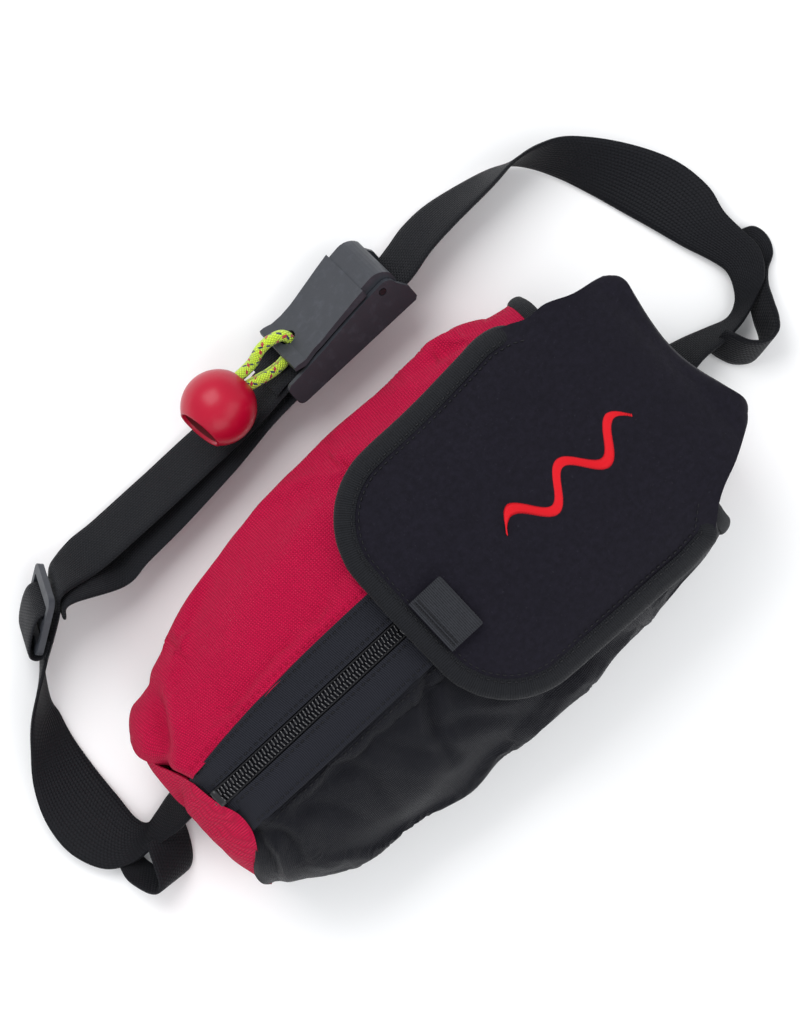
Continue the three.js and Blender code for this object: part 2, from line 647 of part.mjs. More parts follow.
// In plan, the lever's plate is narrow behind its flared tip
const plan = [[8, 17.3], [13, 17], [20, 15.8], [30, 16], [53, 17.3]];
const planOutline = [...plan, ...plan.map(([x, y]) => [x, -y]).reverse()];
const planShape = new THREE.Shape(planOutline.map(([x, y]) => new THREE.Vector2(x, y)));
const leverPlan = solid(new THREE.ExtrudeGeometry(planShape, { depth: 30, bevelEnabled: false }));
const cordHole = new THREE.CylinderGeometry(
  CORD_RADIUS + 1.2, CORD_RADIUS + 1.2, 20, 16,
).rotateX(Math.PI / 2);
const lever = solid(platesY(leverOutline, LEVER_HALF_WIDTH))
  .add(solid(platesY(leverWide, BUCKLE_HALF_WIDTH - 0.2)).intersect(leverPlan))
  .subtract(pinBore)
  .subtract(solid(cordHole.translate(CORD_HOLE_X, CORD_HOLE_Y, 15)));
add('buckle_lever', toGeometry(lever), 'buckle', buckle);
add(
  'buckle_pin', cylinderY(PIN_RADIUS, 2 * BUCKLE_HALF_WIDTH, 20).translate(PIVOT_X, 0, PIVOT_Z), 'pin',
  buckle,
);

// The belt's free end runs under the cam and stops just past the lever's tip
const TAIL_HALF = WEBBING_WIDTH / 2;
const TAIL_SHIFT = 2.2;
add('belt_tail', strapAlong([[72.5, 3.9], [60, 3.7], [40, 3.7], [24, 4], [14, 6.2], [4.5, 8.4], [-4, 7.4]],
  TAIL_SHIFT - TAIL_HALF, TAIL_SHIFT + TAIL_HALF, 22), 'webbing', buckle);

// Adjusting loop: one leg comes from the tri-glide, wraps the anchor bar and returns underneath
const WRAP = ANCHOR_RADIUS + GAP + WEBBING_THICK / 2;
// Each point of a leg is [x, y, z, roll in degrees from the buckle's own]
const wrapArc = arc(ANCHOR_X, ANCHOR_Z, WRAP, 90, -90, 6).map(([x, z]) => [x, 1, z, 0]);
const upperLeg = [
  [-119, 4, 5.1, 7], [-104, 5.4, 1.8, 7], [-70, 5.6, 1, 7], [-40, 4.8, 1.6, 6], [-15, 2.4, 3.1, 1],
];
const lowerLeg = [
  [-15, 1, -1.6, 0], [-40, 0.2, -4.6, 4], [-70, -0.4, -6.4, 7], [-100, -0.8, -6.6, 7],
  [-112, -2, -6, 7], [-120, -3.4, -4.4, 7],
];
const loopCentre = [...upperLeg, ...wrapArc, ...lowerLeg];
const loopEdge = (side) => loopCentre.map(([x, y, z, roll]) => {
  const reach = side * TAIL_HALF;
  return [x, y + reach * Math.cos(roll * DEG), z + reach * Math.sin(roll * DEG)];
});
add('belt_adjust_loop', ribbon(loopEdge(-1), loopEdge(1), 64), 'webbing', buckle);

// ---------------------------------------------------------------- tri-glide adjuster

const GLIDE_LONG = 29;
const GLIDE_WIDE = 32;
const GLIDE_BAR = 5;
const glide = new THREE.Group();
const glideAlong = new THREE.Vector3(0.68, 0.4, 0.45).normalize();
const glideNormal = new THREE.Vector3().crossVectors(
  glideAlong, new THREE.Vector3(0.4, 0.68, -0.62),
).normalize();
const glideAcross = new THREE.Vector3().crossVectors(glideNormal, glideAlong);
glide.quaternion.setFromRotationMatrix(new THREE.Matrix4().makeBasis(glideAlong, glideAcross, glideNormal));
glide.position.set(-134.5, 113.5, 19.6);
group.add(glide);
function roundedRect(Kind, cx, cy, width, height, radius) {
  const path = new Kind();
  const x = cx - width / 2;
  const y = cy - height / 2;
  path.absarc(x + width - radius, y + height - radius, radius, 0, Math.PI / 2, false);
  path.absarc(x + radius, y + height - radius, radius, Math.PI / 2, Math.PI, false);
  path.absarc(x + radius, y + radius, radius, Math.PI, 1.5 * Math.PI, false);
  path.absarc(x + width - radius, y + radius, radius, 1.5 * Math.PI, 2 * Math.PI, false);
  path.closePath();
  return path;
}
const glideShape = roundedRect(THREE.Shape, 0, 0, GLIDE_LONG, GLIDE_WIDE, 4);
const slotLong = (GLIDE_LONG - 3 * GLIDE_BAR) / 2;
for (const side of [-1, 1]) {
  const at = side * (slotLong + GLIDE_BAR) / 2;
  glideShape.holes.push(roundedRect(THREE.Path, at, 0, slotLong, WEBBING_WIDTH + 1, 1));
}
const glideBody = new THREE.ExtrudeGeometry(
  glideShape, { depth: 2.6, bevelEnabled: false, curveSegments: 4 },
);
add('tri_glide', glideBody.translate(0, 0, -1.3), 'buckle', glide);

// The webbing that weaves over the tri-glide's middle bar
const WEAVE = 1.3 + GAP + WEBBING_THICK / 2 + 1.2;
add('belt_at_tri_glide', strapAlong([
  [-17, -WEAVE], [-12.5, -WEAVE], [-6, 0], [0, WEAVE], [6, 0], [12.5, -WEAVE], [15.5, -WEAVE],
], -TAIL_HALF + 0.3, TAIL_HALF - 0.3, 22, 1.4), 'webbing', glide);

// ---------------------------------------------------------------- release cord and ball

const ballAxis = new THREE.Vector3(...BALL_MOUTH).normalize();
const centre = new THREE.Vector3(...BALL_CENTRE);
const turn = new THREE.Quaternion().setFromUnitVectors(new THREE.Vector3(0, 1, 0), ballAxis);
function onBallAxis(geometry, shift) {
  return geometry.translate(0, shift, 0).applyQuaternion(turn).translate(centre.x, centre.y, centre.z);
}
const RECESS_DEPTH = 15;
const ball = solid(onBallAxis(new THREE.SphereGeometry(BALL_RADIUS, 32, 20), 0))
  .subtract(
    solid(
      onBallAxis(
        new THREE.CylinderGeometry(BALL_MOUTH_RADIUS, 7, RECESS_DEPTH, 28),
        BALL_RADIUS - RECESS_DEPTH / 2,
      ),
    ),
  )
  .subtract(solid(onBallAxis(new THREE.CylinderGeometry(6.5, 6.5, 2 * BALL_RADIUS, 16), -2)));
add('release_ball', toGeometry(ball), 'ball');
add('cord_knot', onBallAxis(new THREE.SphereGeometry(5.4, 16, 10), 4.6), 'cord');

// The cord leaves the ball, passes over the lever's tip, down through its hole and back under the tip
const inBuckle = (x, y, z) => {
  const at = new THREE.Vector3(x, y, z).applyEuler(buckle.rotation).add(buckle.position);
  return [at.x, at.y, at.z];
};
const ballSide = (along_, sideways) => centre.clone().addScaledVector(ballAxis, along_)
  .add(new THREE.Vector3(0, sideways, 0)).toArray();
add('release_cord', tube([
  ballSide(-3, 2.5), ballSide(-12, 2.6), inBuckle(-3, 3.4, 18.4), inBuckle(4, 4, 20.4),
  inBuckle(10, 3.4, 20.8),
  inBuckle(14.6, 2.4, 19.4), inBuckle(CORD_HOLE_X, CORD_HOLE_Y, 15.8), inBuckle(14.6, 1.2, 12.2),
  inBuckle(9, -1.4, 11.6),
  inBuckle(1, -3, 13), ballSide(-12, -2.6), ballSide(-3, -2.5),
], CORD_RADIUS, 8, 42), 'cord');

export default group;
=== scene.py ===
"""The looks of a waist throw rope bag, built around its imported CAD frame. Lengths in the tables are millimetres."""
import math

import bpy
import numpy as np
from mathutils import Matrix, Vector, noise


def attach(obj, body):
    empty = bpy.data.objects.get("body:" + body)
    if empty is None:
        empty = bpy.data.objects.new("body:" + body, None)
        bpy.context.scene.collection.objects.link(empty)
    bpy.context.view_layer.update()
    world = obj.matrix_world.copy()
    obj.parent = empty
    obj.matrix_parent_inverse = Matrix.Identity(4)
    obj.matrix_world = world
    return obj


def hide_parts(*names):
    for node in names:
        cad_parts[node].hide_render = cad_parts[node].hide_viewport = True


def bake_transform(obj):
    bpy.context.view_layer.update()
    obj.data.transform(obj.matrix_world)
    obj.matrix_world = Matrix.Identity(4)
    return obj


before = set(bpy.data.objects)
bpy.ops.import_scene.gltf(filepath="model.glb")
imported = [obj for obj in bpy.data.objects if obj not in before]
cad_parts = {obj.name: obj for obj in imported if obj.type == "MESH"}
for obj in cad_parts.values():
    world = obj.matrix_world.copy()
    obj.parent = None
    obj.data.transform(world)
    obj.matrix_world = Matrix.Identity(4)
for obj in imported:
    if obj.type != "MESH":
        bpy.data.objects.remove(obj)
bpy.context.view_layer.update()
MM = 0.001

# Pouch, in step with its CAD panels
POUCH_Y = 6.5
SECTION_Z = 36.0
SECTION_POWER = 2.5
DEPTH_BELOW = 44.0
FLOOR_Z = 3.9
SIDE_SEAM = 117.0
RIM_X = 98.0
ZIP_Y = 4.5
ZIP_Z = 79.4
FACING_RED_Y = 23.0
FACING_BLACK_Y = -14.0
FACING_END = 66
COIL_LENGTH = 190
COIL_PITCH = 1.75
WEBBING = 25.4
WEBBING_THICK = 1.6

# The buckle's frame: where it is and how it rolls about X
BUCKLE = Matrix.Translation((5, 112, 13.4)) @ Matrix.Rotation(math.radians(-48), 4, "X")


# ---------------------------------------------------------------- camera, light and floor

VIEW_TURN = math.radians(-43)
LOOK_AT = (5.4 * MM, 39.4 * MM)
LOOK_Z = 45 * MM
CAMERA_UP = 1.5
FRAME_HEIGHT = 0.4267
SENSOR = 36
# Name, place (right, up in the picture, above the floor), size in metres and watts
LIGHTS = (
    ("key", (-0.55, 0.75, 1.15), 1.0, 13.0),
    ("fill", (0.95, -0.2, 0.9), 1.2, 6.0),
    ("rear", (0.1, -1.1, 0.75), 1.0, 5.0),
)


def set_stage():
    scene = bpy.context.scene
    scene.view_settings.view_transform = "Standard"
    data = bpy.data.cameras.new("camera")
    data.sensor_fit = "VERTICAL"
    data.sensor_height = SENSOR
    data.lens = SENSOR * CAMERA_UP / FRAME_HEIGHT
    camera = bpy.data.objects.new("camera", data)
    camera.location = (*LOOK_AT, LOOK_Z + CAMERA_UP)
    camera.rotation_euler = (0, 0, VIEW_TURN)
    scene.collection.objects.link(camera)
    scene.camera = camera
    turn = Matrix.Rotation(VIEW_TURN, 3, "Z")
    for name, place, size, watts in LIGHTS:
        lamp = bpy.data.lights.new(name, "AREA")
        lamp.size = size
        lamp.energy = watts
        light = bpy.data.objects.new(name, lamp)
        light.location = turn @ Vector(place)
        aim = Vector((*LOOK_AT, LOOK_Z)) - light.location
        light.rotation_euler = aim.to_track_quat("-Z", "Y").to_euler()
        scene.collection.objects.link(light)
    world = bpy.data.worlds.new("studio")
    world.use_nodes = True
    background = world.node_tree.nodes["Background"]
    background.inputs["Color"].default_value = (0.95, 0.97, 1, 1)
    background.inputs["Strength"].default_value = 0.7
    scene.world = world
    bpy.ops.mesh.primitive_plane_add(size=6, location=(0, 0, -0.0004))
    floor = bpy.context.object
    floor.name = "studio_floor"
    floor.data.materials.append(simple_material("studio_floor", (0.95, 0.95, 0.95), 0.9))


# ---------------------------------------------------------------- materials

class Nodes:
    """A material's node tree, built by short calls."""

    def __init__(self, name, color, roughness, **sockets):
        self.material = bpy.data.materials.new(name)
        self.material.use_nodes = True
        self.tree = self.material.node_tree
        self.shader = self.tree.nodes["Principled BSDF"]
        self.set("Base Color", (*color, 1))
        self.set("Roughness", roughness)
        for socket, value in sockets.items():
            self.set(socket.replace("_", " "), value)

    def set(self, socket, value):
        self.shader.inputs[socket].default_value = value

    def add(self, kind, **values):
        """A new node, with values for its sockets or settings."""
        node = self.tree.nodes.new(kind)
        for key, value in values.items():
            if key in node.inputs:
                node.inputs[key].default_value = value
            else:
                setattr(node, key, value)
        return node

    def link(self, output, target):
        self.tree.links.new(output, target)

    def math(self, operation, a, b=None):
        node = self.add("ShaderNodeMath", operation=operation)
        for value, socket in zip((a, b), node.inputs):
            if isinstance(value, (int, float)):
                socket.default_value = value
            elif value is not None:
                self.link(value, socket)
        return node.outputs[0]

    def uv(self):
        """The piece's own surface coordinates, in millimetres: along it and across it."""
        split = self.add("ShaderNodeSeparateXYZ")
        self.link(self.add("ShaderNodeUVMap").outputs["UV"], split.inputs[0])
        return [self.math("MULTIPLY", split.outputs[i], 1 / MM) for i in (0, 1)]

    def noise(self, scale, detail=3.0, rough=0.5):
        node = self.add("ShaderNodeTexNoise", Scale=scale, Detail=detail, Roughness=rough)
        self.link(self.add("ShaderNodeTexCoord").outputs["Object"], node.inputs["Vector"])
        return node.outputs["Fac"]

    def ramp(self, value, low, high, to_low=0.0, to_high=1.0):
        span = {"From Min": low, "From Max": high, "To Min": to_low, "To Max": to_high}
        node = self.add("ShaderNodeMapRange", **span)
        self.link(value, node.inputs["Value"])
        return node.outputs["Result"]

    def patches(self, scale, detail, low=0.3, high=0.7, rough=0.5):
        """Noise stretched to run from 0 to 1."""
        return self.ramp(self.noise(scale, detail, rough), low, high)

    def ridges(self, value, pitch):
        """Round ridges from 0 to 1, a pitch apart."""
        return self.math("ABSOLUTE", self.math("SINE", self.math("MULTIPLY", value, math.pi / pitch)))

    def mix(self, factor, a, b):
        node = self.add("ShaderNodeMix", data_type="RGBA")
        for socket, value in ((6, a), (7, b)):
            if isinstance(value, tuple):
                node.inputs[socket].default_value = (*value, 1)
            else:
                self.link(value, node.inputs[socket])
        self.link(factor, node.inputs[0])
        return node.outputs[2]

    def tint(self, base, factor, share, color):
        """Base with a share of another colour where factor is high."""
        return self.mix(self.math("MULTIPLY", factor, share), base, color)

    def color(self, output):
        self.link(output, self.shader.inputs["Base Color"])

    def rough(self, output):
        self.link(output, self.shader.inputs["Roughness"])

    def bump(self, *layers):
        """Layers of (height output, depth in metres)."""
        normal = None
        for height, distance in layers:
            node = self.add("ShaderNodeBump", Strength=1.0, Distance=distance)
            self.link(height, node.inputs["Height"])
            if normal:
                self.link(normal, node.inputs["Normal"])
            normal = node.outputs["Normal"]
        self.link(normal, self.shader.inputs["Normal"])


def simple_material(name, color, roughness):
    """A slightly mottled matt surface."""
    n = Nodes(name, color, roughness, Specular_IOR_Level=0.2)
    n.rough(n.ramp(n.noise(6), 0.3, 0.7, roughness - 0.05, roughness + 0.05))
    return n.material


def dim(color, share):
    return tuple(c * share for c in color)


def cloth_material(name, color, pitch, depth, sheen, roughness):
    """Plain weave: threads over and under each other, painted darker between the threads as shade and lighter on their
    crests as highlight, with painted glints on the crests, uneven dye and a faint nap.
    """
    n = Nodes(name, color, roughness, Sheen_Weight=sheen, Sheen_Roughness=0.4, Specular_IOR_Level=0.12)
    wobble = n.ramp(n.noise(260, 2), 0, 1, -0.35, 0.35)
    warp, weft = (n.math("SINE", n.math("MULTIPLY", n.math("ADD", axis, wobble), math.pi / pitch)) for axis in n.uv())
    over = n.math("ABSOLUTE", n.math("MULTIPLY", warp, weft))
    blotch = n.patches(38, 4, rough=0.6)
    fibre = n.patches(1400, 2)
    # Painted shade and highlight: darker between the threads, lighter on their crests.
    base = n.mix(n.ramp(over, 0.0, 0.9), dim(color, 0.62), dim(color, 1.15))
    # Painted glints: pale flecks on the thread crests stand in for highlights.
    painted_crest_glint = n.math("MULTIPLY", n.ramp(over, 0.86, 1.0), n.patches(500, 2, 0.45, 0.65))
    base = n.tint(base, painted_crest_glint, 0.35, tuple(0.6 * c + 0.1 for c in color))
    base = n.tint(base, blotch, 0.28, dim(color, 0.72))
    n.color(n.tint(base, fibre, 0.2, dim(color, 1.45)))
    n.rough(n.ramp(blotch, 0, 1, roughness - 0.06, roughness + 0.06))
    n.bump((n.noise(75), 0.0004), (over, depth * MM), (fibre, 0.00005))
    return n.material


def webbing_material(name, color, rib, column):
    """Ribbed webbing: short floats in staggered columns between plain selvedges."""
    n = Nodes(name, color, 0.62, Sheen_Weight=0.04, Sheen_Roughness=0.35, Specular_IOR_Level=0.12)
    u, v = n.uv()
    stagger = n.math("MULTIPLY", n.math("FLOOR", n.math("DIVIDE", v, column)), 0.5 * rib)
    ribs = n.ridges(n.math("ADD", u, stagger), rib)
    columns = n.ridges(v, column)
    height = n.math("ADD", n.math("MULTIPLY", ribs, 0.7), n.math("MULTIPLY", columns, 0.5))
    fibre = n.patches(1100, 2)
    wear = n.patches(45, 4, 0.35, 0.75)
    # Painted shade in the grooves between ribs and painted highlight on the rib crests.
    base = n.mix(n.ramp(height, 0.1, 1.0), dim(color, 0.35), dim(color, 1.25))
    base = n.tint(base, fibre, 0.25, dim(color, 2.1))
    n.color(n.tint(base, wear, 0.22, dim(color, 1.7)))
    n.rough(n.ramp(wear, 0, 1, 0.55, 0.7))
    n.bump((height, 0.0003), (fibre, 0.00005))
    return n.material


def grosgrain_material(name, color, rib=1.0, crest=1.3):
    """Binding tape: fine ribs straight across it, with painted highlights on their crests and painted shade in the
    grooves between them.
    """
    n = Nodes(name, color, 0.7, Sheen_Weight=0.05, Sheen_Roughness=0.4, Specular_IOR_Level=0.12)
    u, v = n.uv()
    ribs, cross = n.ridges(u, rib), n.ridges(v, 0.6)
    height = n.math("ADD", n.math("MULTIPLY", ribs, 0.8), n.math("MULTIPLY", cross, 0.25))
    fibre = n.patches(1200, 2)
    # Painted shade in the grooves and painted highlight on the rib crests, as bright as crest sets.
    base = n.mix(n.ramp(height, 0.1, 1.0), dim(color, 0.4), dim(color, crest))
    n.color(n.tint(base, fibre, 0.3, dim(color, 2.0)))
    n.bump((height, 0.00022), (fibre, 0.00004))
    return n.material


def neoprene_material(name, color):
    """Foam rubber faced with fine jersey: matt, softly mottled, lint on it."""
    n = Nodes(name, color, 0.92, Sheen_Weight=0.06, Sheen_Roughness=0.5, Specular_IOR_Level=0.12)
    mottle = n.patches(420, 3, 0.35, 0.7, 0.7)
    base = n.mix(mottle, dim(color, 0.8), dim(color, 1.3))
    base = n.tint(base, n.patches(30, 3), 0.3, dim(color, 0.75))
    lint = n.patches(900, 2, 0.66, 0.74, 0.8)
    n.color(n.tint(base, lint, 0.2, (0.06, 0.06, 0.075)))
    n.bump((n.noise(90, 2), 0.0005), (mottle, 0.00008), (n.noise(2300, 1), 0.00006))
    return n.material


def plastic_material(name, color, roughness, grain=0.00003, shine=0.35):
    """Moulded plastic: fine spark texture, paler where edges have rubbed."""
    n = Nodes(name, color, roughness, Specular_IOR_Level=shine)
    edge = n.ramp(n.add("ShaderNodeNewGeometry").outputs["Pointiness"], 0.51, 0.56)
    rub = n.math("MULTIPLY", edge, n.patches(180, 5, 0.52, 0.68, 0.7))
    base = n.mix(n.patches(60, 3), dim(color, 0.96), dim(color, 1.04))
    n.color(n.tint(base, rub, 0.4, dim(color, 2.0)))
    n.rough(n.ramp(n.noise(220, 4), 0.3, 0.7, roughness - 0.03, roughness + 0.05))
    n.bump((n.noise(1500, 2), grain), (n.noise(50, 2), 0.00004))
    return n.material


def ball_material(name, color):
    """Glossy moulded float with rubbed, slightly chalky patches."""
    n = Nodes(name, color, 0.36, Coat_Weight=0.05, Coat_Roughness=0.2, Specular_IOR_Level=0.3)
    rub = n.patches(95, 5, 0.56, 0.72, 0.72)
    base = n.mix(n.patches(40, 2), dim(color, 0.9), dim(color, 1.05))
    n.color(n.tint(base, rub, 0.08, (0.6, 0.08, 0.12)))
    n.rough(n.ramp(rub, 0, 1, 0.33, 0.48))
    n.bump((n.noise(120), 0.00006), (rub, 0.00004))
    return n.material


def cord_material(name, color):
    """Braided cord: crossing strands, with dark and red tracer flecks in two of them and painted shade in the gaps
    between strands.
    """
    n = Nodes(name, color, 0.6, Sheen_Weight=0.3)
    u, v = n.uv()

    def wave(operation, along_it, round_it):
        """A sine that winds round the cord, one way for ADD and the other for SUBTRACT."""
        return n.math("SINE", n.math(operation, n.math("MULTIPLY", u, along_it), n.math("MULTIPLY", v, round_it)))

    one, two = (wave(operation, math.pi / 1.5, math.pi / 1.3) for operation in ("ADD", "SUBTRACT"))
    strand = n.math("ABSOLUTE", n.math("MULTIPLY", one, two))
    tracer, other = wave("ADD", 0.55, 0.9), wave("SUBTRACT", 0.62, 0.9)
    dashes = n.ramp(n.math("SINE", n.math("MULTIPLY", u, 2.1)), 0.0, 0.15)
    red = n.math("MULTIPLY", n.ramp(tracer, 0.74, 0.8), dashes)
    navy = n.math("MULTIPLY", n.ramp(other, 0.84, 0.9), n.math("SUBTRACT", 1.0, dashes))
    # Painted shade: darker in the gaps between the strands.
    base = n.mix(n.ramp(strand, 0.0, 0.35), dim(color, 0.6), color)
    base = n.mix(red, base, (0.5, 0.02, 0.04))
    n.color(n.mix(navy, base, (0.02, 0.02, 0.09)))
    n.bump((strand, 0.0005), (n.noise(1500, 2), 0.00006))
    return n.material


def make_materials():
    red = (0.46, 0.0028, 0.045)
    black = (0.0075, 0.0078, 0.0115)
    return {
        "red": cloth_material("red_cloth", red, 1.1, 0.34, 0.02, 0.75),
        "black": cloth_material("black_cloth", black, 0.85, 0.32, 0.05, 0.48),
        "neoprene": neoprene_material("neoprene_jersey", (0.0075, 0.0066, 0.0115)),
        "webbing": webbing_material("ribbed_webbing", (0.0072, 0.0076, 0.0095), 1.5, 1.25),
        "binding": grosgrain_material("grosgrain_tape", (0.008, 0.0085, 0.0105)),
        # The facing's ribs get a stronger painted highlight on their crests.
        "facing": grosgrain_material("zip_facing_tape", (0.0085, 0.009, 0.0125), 0.85, 2.2),
        "tab": grosgrain_material("pull_tab_tape", (0.021, 0.022, 0.026), 0.9),
        "buckle": plastic_material("satin_plastic", (0.03, 0.033, 0.041), 0.45),
        "zip": plastic_material("nylon_coil", (0.008, 0.008, 0.01), 0.18, 0.00001, 0.85),
        "thread": simple_material("black_thread", (0.009, 0.009, 0.011), 0.5),
        "motif": simple_material("red_thread", (0.62, 0.006, 0.014), 0.5),
        "hook": simple_material("hook_tape", (0.014, 0.014, 0.016), 0.8),
        "ball": ball_material("gloss_red", (0.41, 0.0015, 0.024)),
        # Painted shade: the bore is the ball's own plastic, darkened to stand in for the shade inside it.
        "bore": simple_material("ball_bore_painted_shade", (0.1, 0.002, 0.006), 0.6),
        "cord": cord_material("yellow_braid", (0.66, 0.92, 0.03)),
        "rope": cord_material("float_rope", (0.7, 0.5, 0.03)),
        "foam": simple_material("white_foam", (0.75, 0.74, 0.7), 0.9),
        "pin": plastic_material("black_pin", (0.012, 0.012, 0.014), 0.35),
    }


# ---------------------------------------------------------------- shapes

def hermite(t, step, start, start_slope, end, end_slope):
    """The cubic between two values with given slopes, at share t of a step."""
    return ((2 * t**3 - 3 * t**2 + 1) * start + (t**3 - 2 * t**2 + t) * step * start_slope
            + (3 * t**2 - 2 * t**3) * end + (t**3 - t**2) * step * end_slope)


def along(points):
    """A smooth value along X through a few (x, value) points."""
    xs, ys = (np.array(c, float) for c in zip(*points))
    slope = np.gradient(ys, xs)

    def at(x):
        x = np.clip(np.asarray(x, float), xs[0], xs[-1])
        i = np.clip(np.searchsorted(xs, x, side="right") - 1, 0, len(xs) - 2)
        step = xs[i + 1] - xs[i]
        return hermite((x - xs[i]) / step, step, ys[i], slope[i], ys[i + 1], slope[i + 1])

    return at


def rail(points, count):
    """A smooth curve through the points, sampled in equal steps of their index."""
    p = np.array(points, float)
    slope = np.gradient(p, axis=0)
    s = np.linspace(0, len(p) - 1, count)
    i = np.minimum(s.astype(int), len(p) - 2)
    return hermite((s - i)[:, None], 1, p[i], slope[i], p[i + 1], slope[i + 1])


def distance_along(line):
    """How far along a line each of its points is."""
    return np.concatenate([[0], np.cumsum(np.linalg.norm(np.diff(line, axis=0), axis=1))])


def evenly(points, count):
    """The same line in equal steps of length."""
    fine = rail(points, 40 * len(points))
    length = distance_along(fine)
    at = np.linspace(0, length[-1], count)
    return np.stack([np.interp(at, length, axis) for axis in fine.T], axis=1)


def unit(v):
    return v / np.maximum(np.linalg.norm(v, axis=-1, keepdims=True), 1e-9)


def normals(grid):
    return unit(np.cross(np.gradient(grid, axis=0), np.gradient(grid, axis=1)))


def surface(x, y, z):
    """A grid of points from coordinates that vary along its rows, its columns, both or neither."""
    return np.stack(np.broadcast_arrays(x, y, z), axis=-1)


def circle(count):
    return np.linspace(0, 2 * np.pi, count, endpoint=False)


def uv_pairs(u, v):
    """Surface coordinates in millimetres, a pair for each point of a grid."""
    return np.stack(np.broadcast_arrays(u, v), axis=-1).reshape(-1, 2)


def lengths(grid, axis):
    """The distance run along a grid's axis, averaged over its other axis."""
    step = np.linalg.norm(np.diff(grid, axis=axis), axis=2).mean(axis=1 - axis)
    return np.concatenate([[0], np.cumsum(step)])


def mesh(name, points, faces, material, uv=None, angle=None):
    """An object from points in millimetres; uv is one pair for each point, in millimetres."""
    data = bpy.data.meshes.new(name)
    data.from_pydata((np.asarray(points, float) * MM).tolist(), [], faces)
    if uv is not None:
        layer = data.uv_layers.new(name="UVMap")
        index = np.zeros(len(data.loops), np.int32)
        data.loops.foreach_get("vertex_index", index)
        layer.data.foreach_set("uv", (np.asarray(uv, np.float32)[index] * MM).ravel())
    data.polygons.foreach_set("use_smooth", [True] * len(data.polygons))
    if angle:
        data.set_sharp_from_angle(angle=math.radians(angle))
    data.materials.append(material)
    piece = bpy.data.objects.new(name, data)
    bpy.context.scene.collection.objects.link(piece)
    return piece


def grid_faces(rows, columns, start=0, wrap=False, flip=False):
    faces = []
    for i in range(rows - 1):
        a, b = start + i * columns, start + (i + 1) * columns
        for j in range(columns if wrap else columns - 1):
            k = (j + 1) % columns
            face = (a + j, a + k, b + k, b + j)
            faces.append(face[::-1] if flip else face)
    return faces


def add_tube(points, faces, rings, flip=True):
    """Adds a short tube with flat ends to the points and faces of a mesh."""
    rows, columns = rings.shape[:2]
    start, last = len(points), len(points) + (rows - 1) * columns
    near, far = tuple(range(start, start + columns)), tuple(range(last, last + columns))
    faces += grid_faces(rows, columns, start, wrap=True, flip=flip)
    faces += [near, far[::-1]] if flip else [near[::-1], far]
    points += rings.reshape(-1, 3).tolist()


def shell(name, grid, thick, material, inner=None):
    """A closed sheet under a grid of points: of even thickness, or down to the inner grid."""
    rows, columns = grid.shape[:2]
    under = grid - normals(grid) * thick if inner is None else inner
    count = rows * columns
    faces = grid_faces(rows, columns) + grid_faces(rows, columns, count, flip=True)
    ring = [*range(columns), *(i * columns + columns - 1 for i in range(1, rows))]
    ring += [(rows - 1) * columns + j for j in range(columns - 2, -1, -1)]
    ring += [i * columns for i in range(rows - 2, 0, -1)]
    faces += [(b, a, a + count, b + count) for a, b in zip(ring, ring[1:] + ring[:1])]
    uv = uv_pairs(lengths(grid, 0)[:, None], lengths(grid, 1))
    points = np.concatenate([grid.reshape(-1, 3), under.reshape(-1, 3)])
    return mesh(name, points, faces, material, np.concatenate([uv, uv]), angle=50)


def loft(name, rings, material, uv=None, ends=True, angle=None):
    """A closed skin over rings of points: with flat ends, or joined from the last ring to the first."""
    rows, columns = rings.shape[:2]
    faces = grid_faces(rows, columns, wrap=True, flip=True)
    last = (rows - 1) * columns
    if ends:
        faces += [tuple(range(columns)), tuple(reversed(range(last, last + columns)))]
    else:
        faces += [(last + (j + 1) % columns, last + j, j, (j + 1) % columns) for j in range(columns)]
    if uv is None:
        around = np.concatenate([rings, rings[:, :1]], axis=1)
        uv = uv_pairs(lengths(rings, 0)[:, None], lengths(around, 1)[:-1])
    return mesh(name, rings.reshape(-1, 3), faces, material, uv, angle=angle)


def webbing_profile():
    """A strap's section: shares of its width and shares of its thickness, with thin round selvedges."""
    top = [(a, 0.5 if abs(a) < 0.45 else 0.42) for a in np.linspace(-0.48, 0.48, 10)]
    return np.array([(-0.5, 0.0), *top, (0.5, 0.0), *[(a, -b) for a, b in reversed(top)]]).T


def ribbon(name, edge_a, edge_b, stations, material, thick=WEBBING_THICK, ripple=0.0):
    """Flat webbing between two edges given in step."""
    a, b = rail(edge_a, stations), rail(edge_b, stations)
    centre = (a + b) / 2
    across = unit(b - a)
    width = np.linalg.norm(b - a, axis=1)
    normal = unit(np.cross(unit(np.gradient(centre, axis=0)), across))
    if ripple:
        run = distance_along(centre)
        wave = np.sin(run / 17) * 0.6 + np.sin(run / 7.3 + 1) * 0.4
        ends = np.sin(np.pi * np.linspace(0, 1, stations)) ** 0.5
        centre = centre + normal * (wave * ends * ripple)[:, None]
    share, rise = webbing_profile()
    rings = (centre[:, None] + across[:, None] * (share * width[:, None])[..., None]
             + normal[:, None] * (rise * thick)[:, None])
    uv = uv_pairs(lengths(rings, 0)[:, None], (share + 0.5) * width.mean())
    return loft(name, rings, material, uv, angle=60)


def flat_strap(path, low, high):
    """The two edges of a strap whose run is given as (x, z), spanning y."""
    return [(x, low, z) for x, z in path], [(x, high, z) for x, z in path]


def in_frame(matrix, points):
    return [tuple(matrix @ Vector(p)) for p in points]


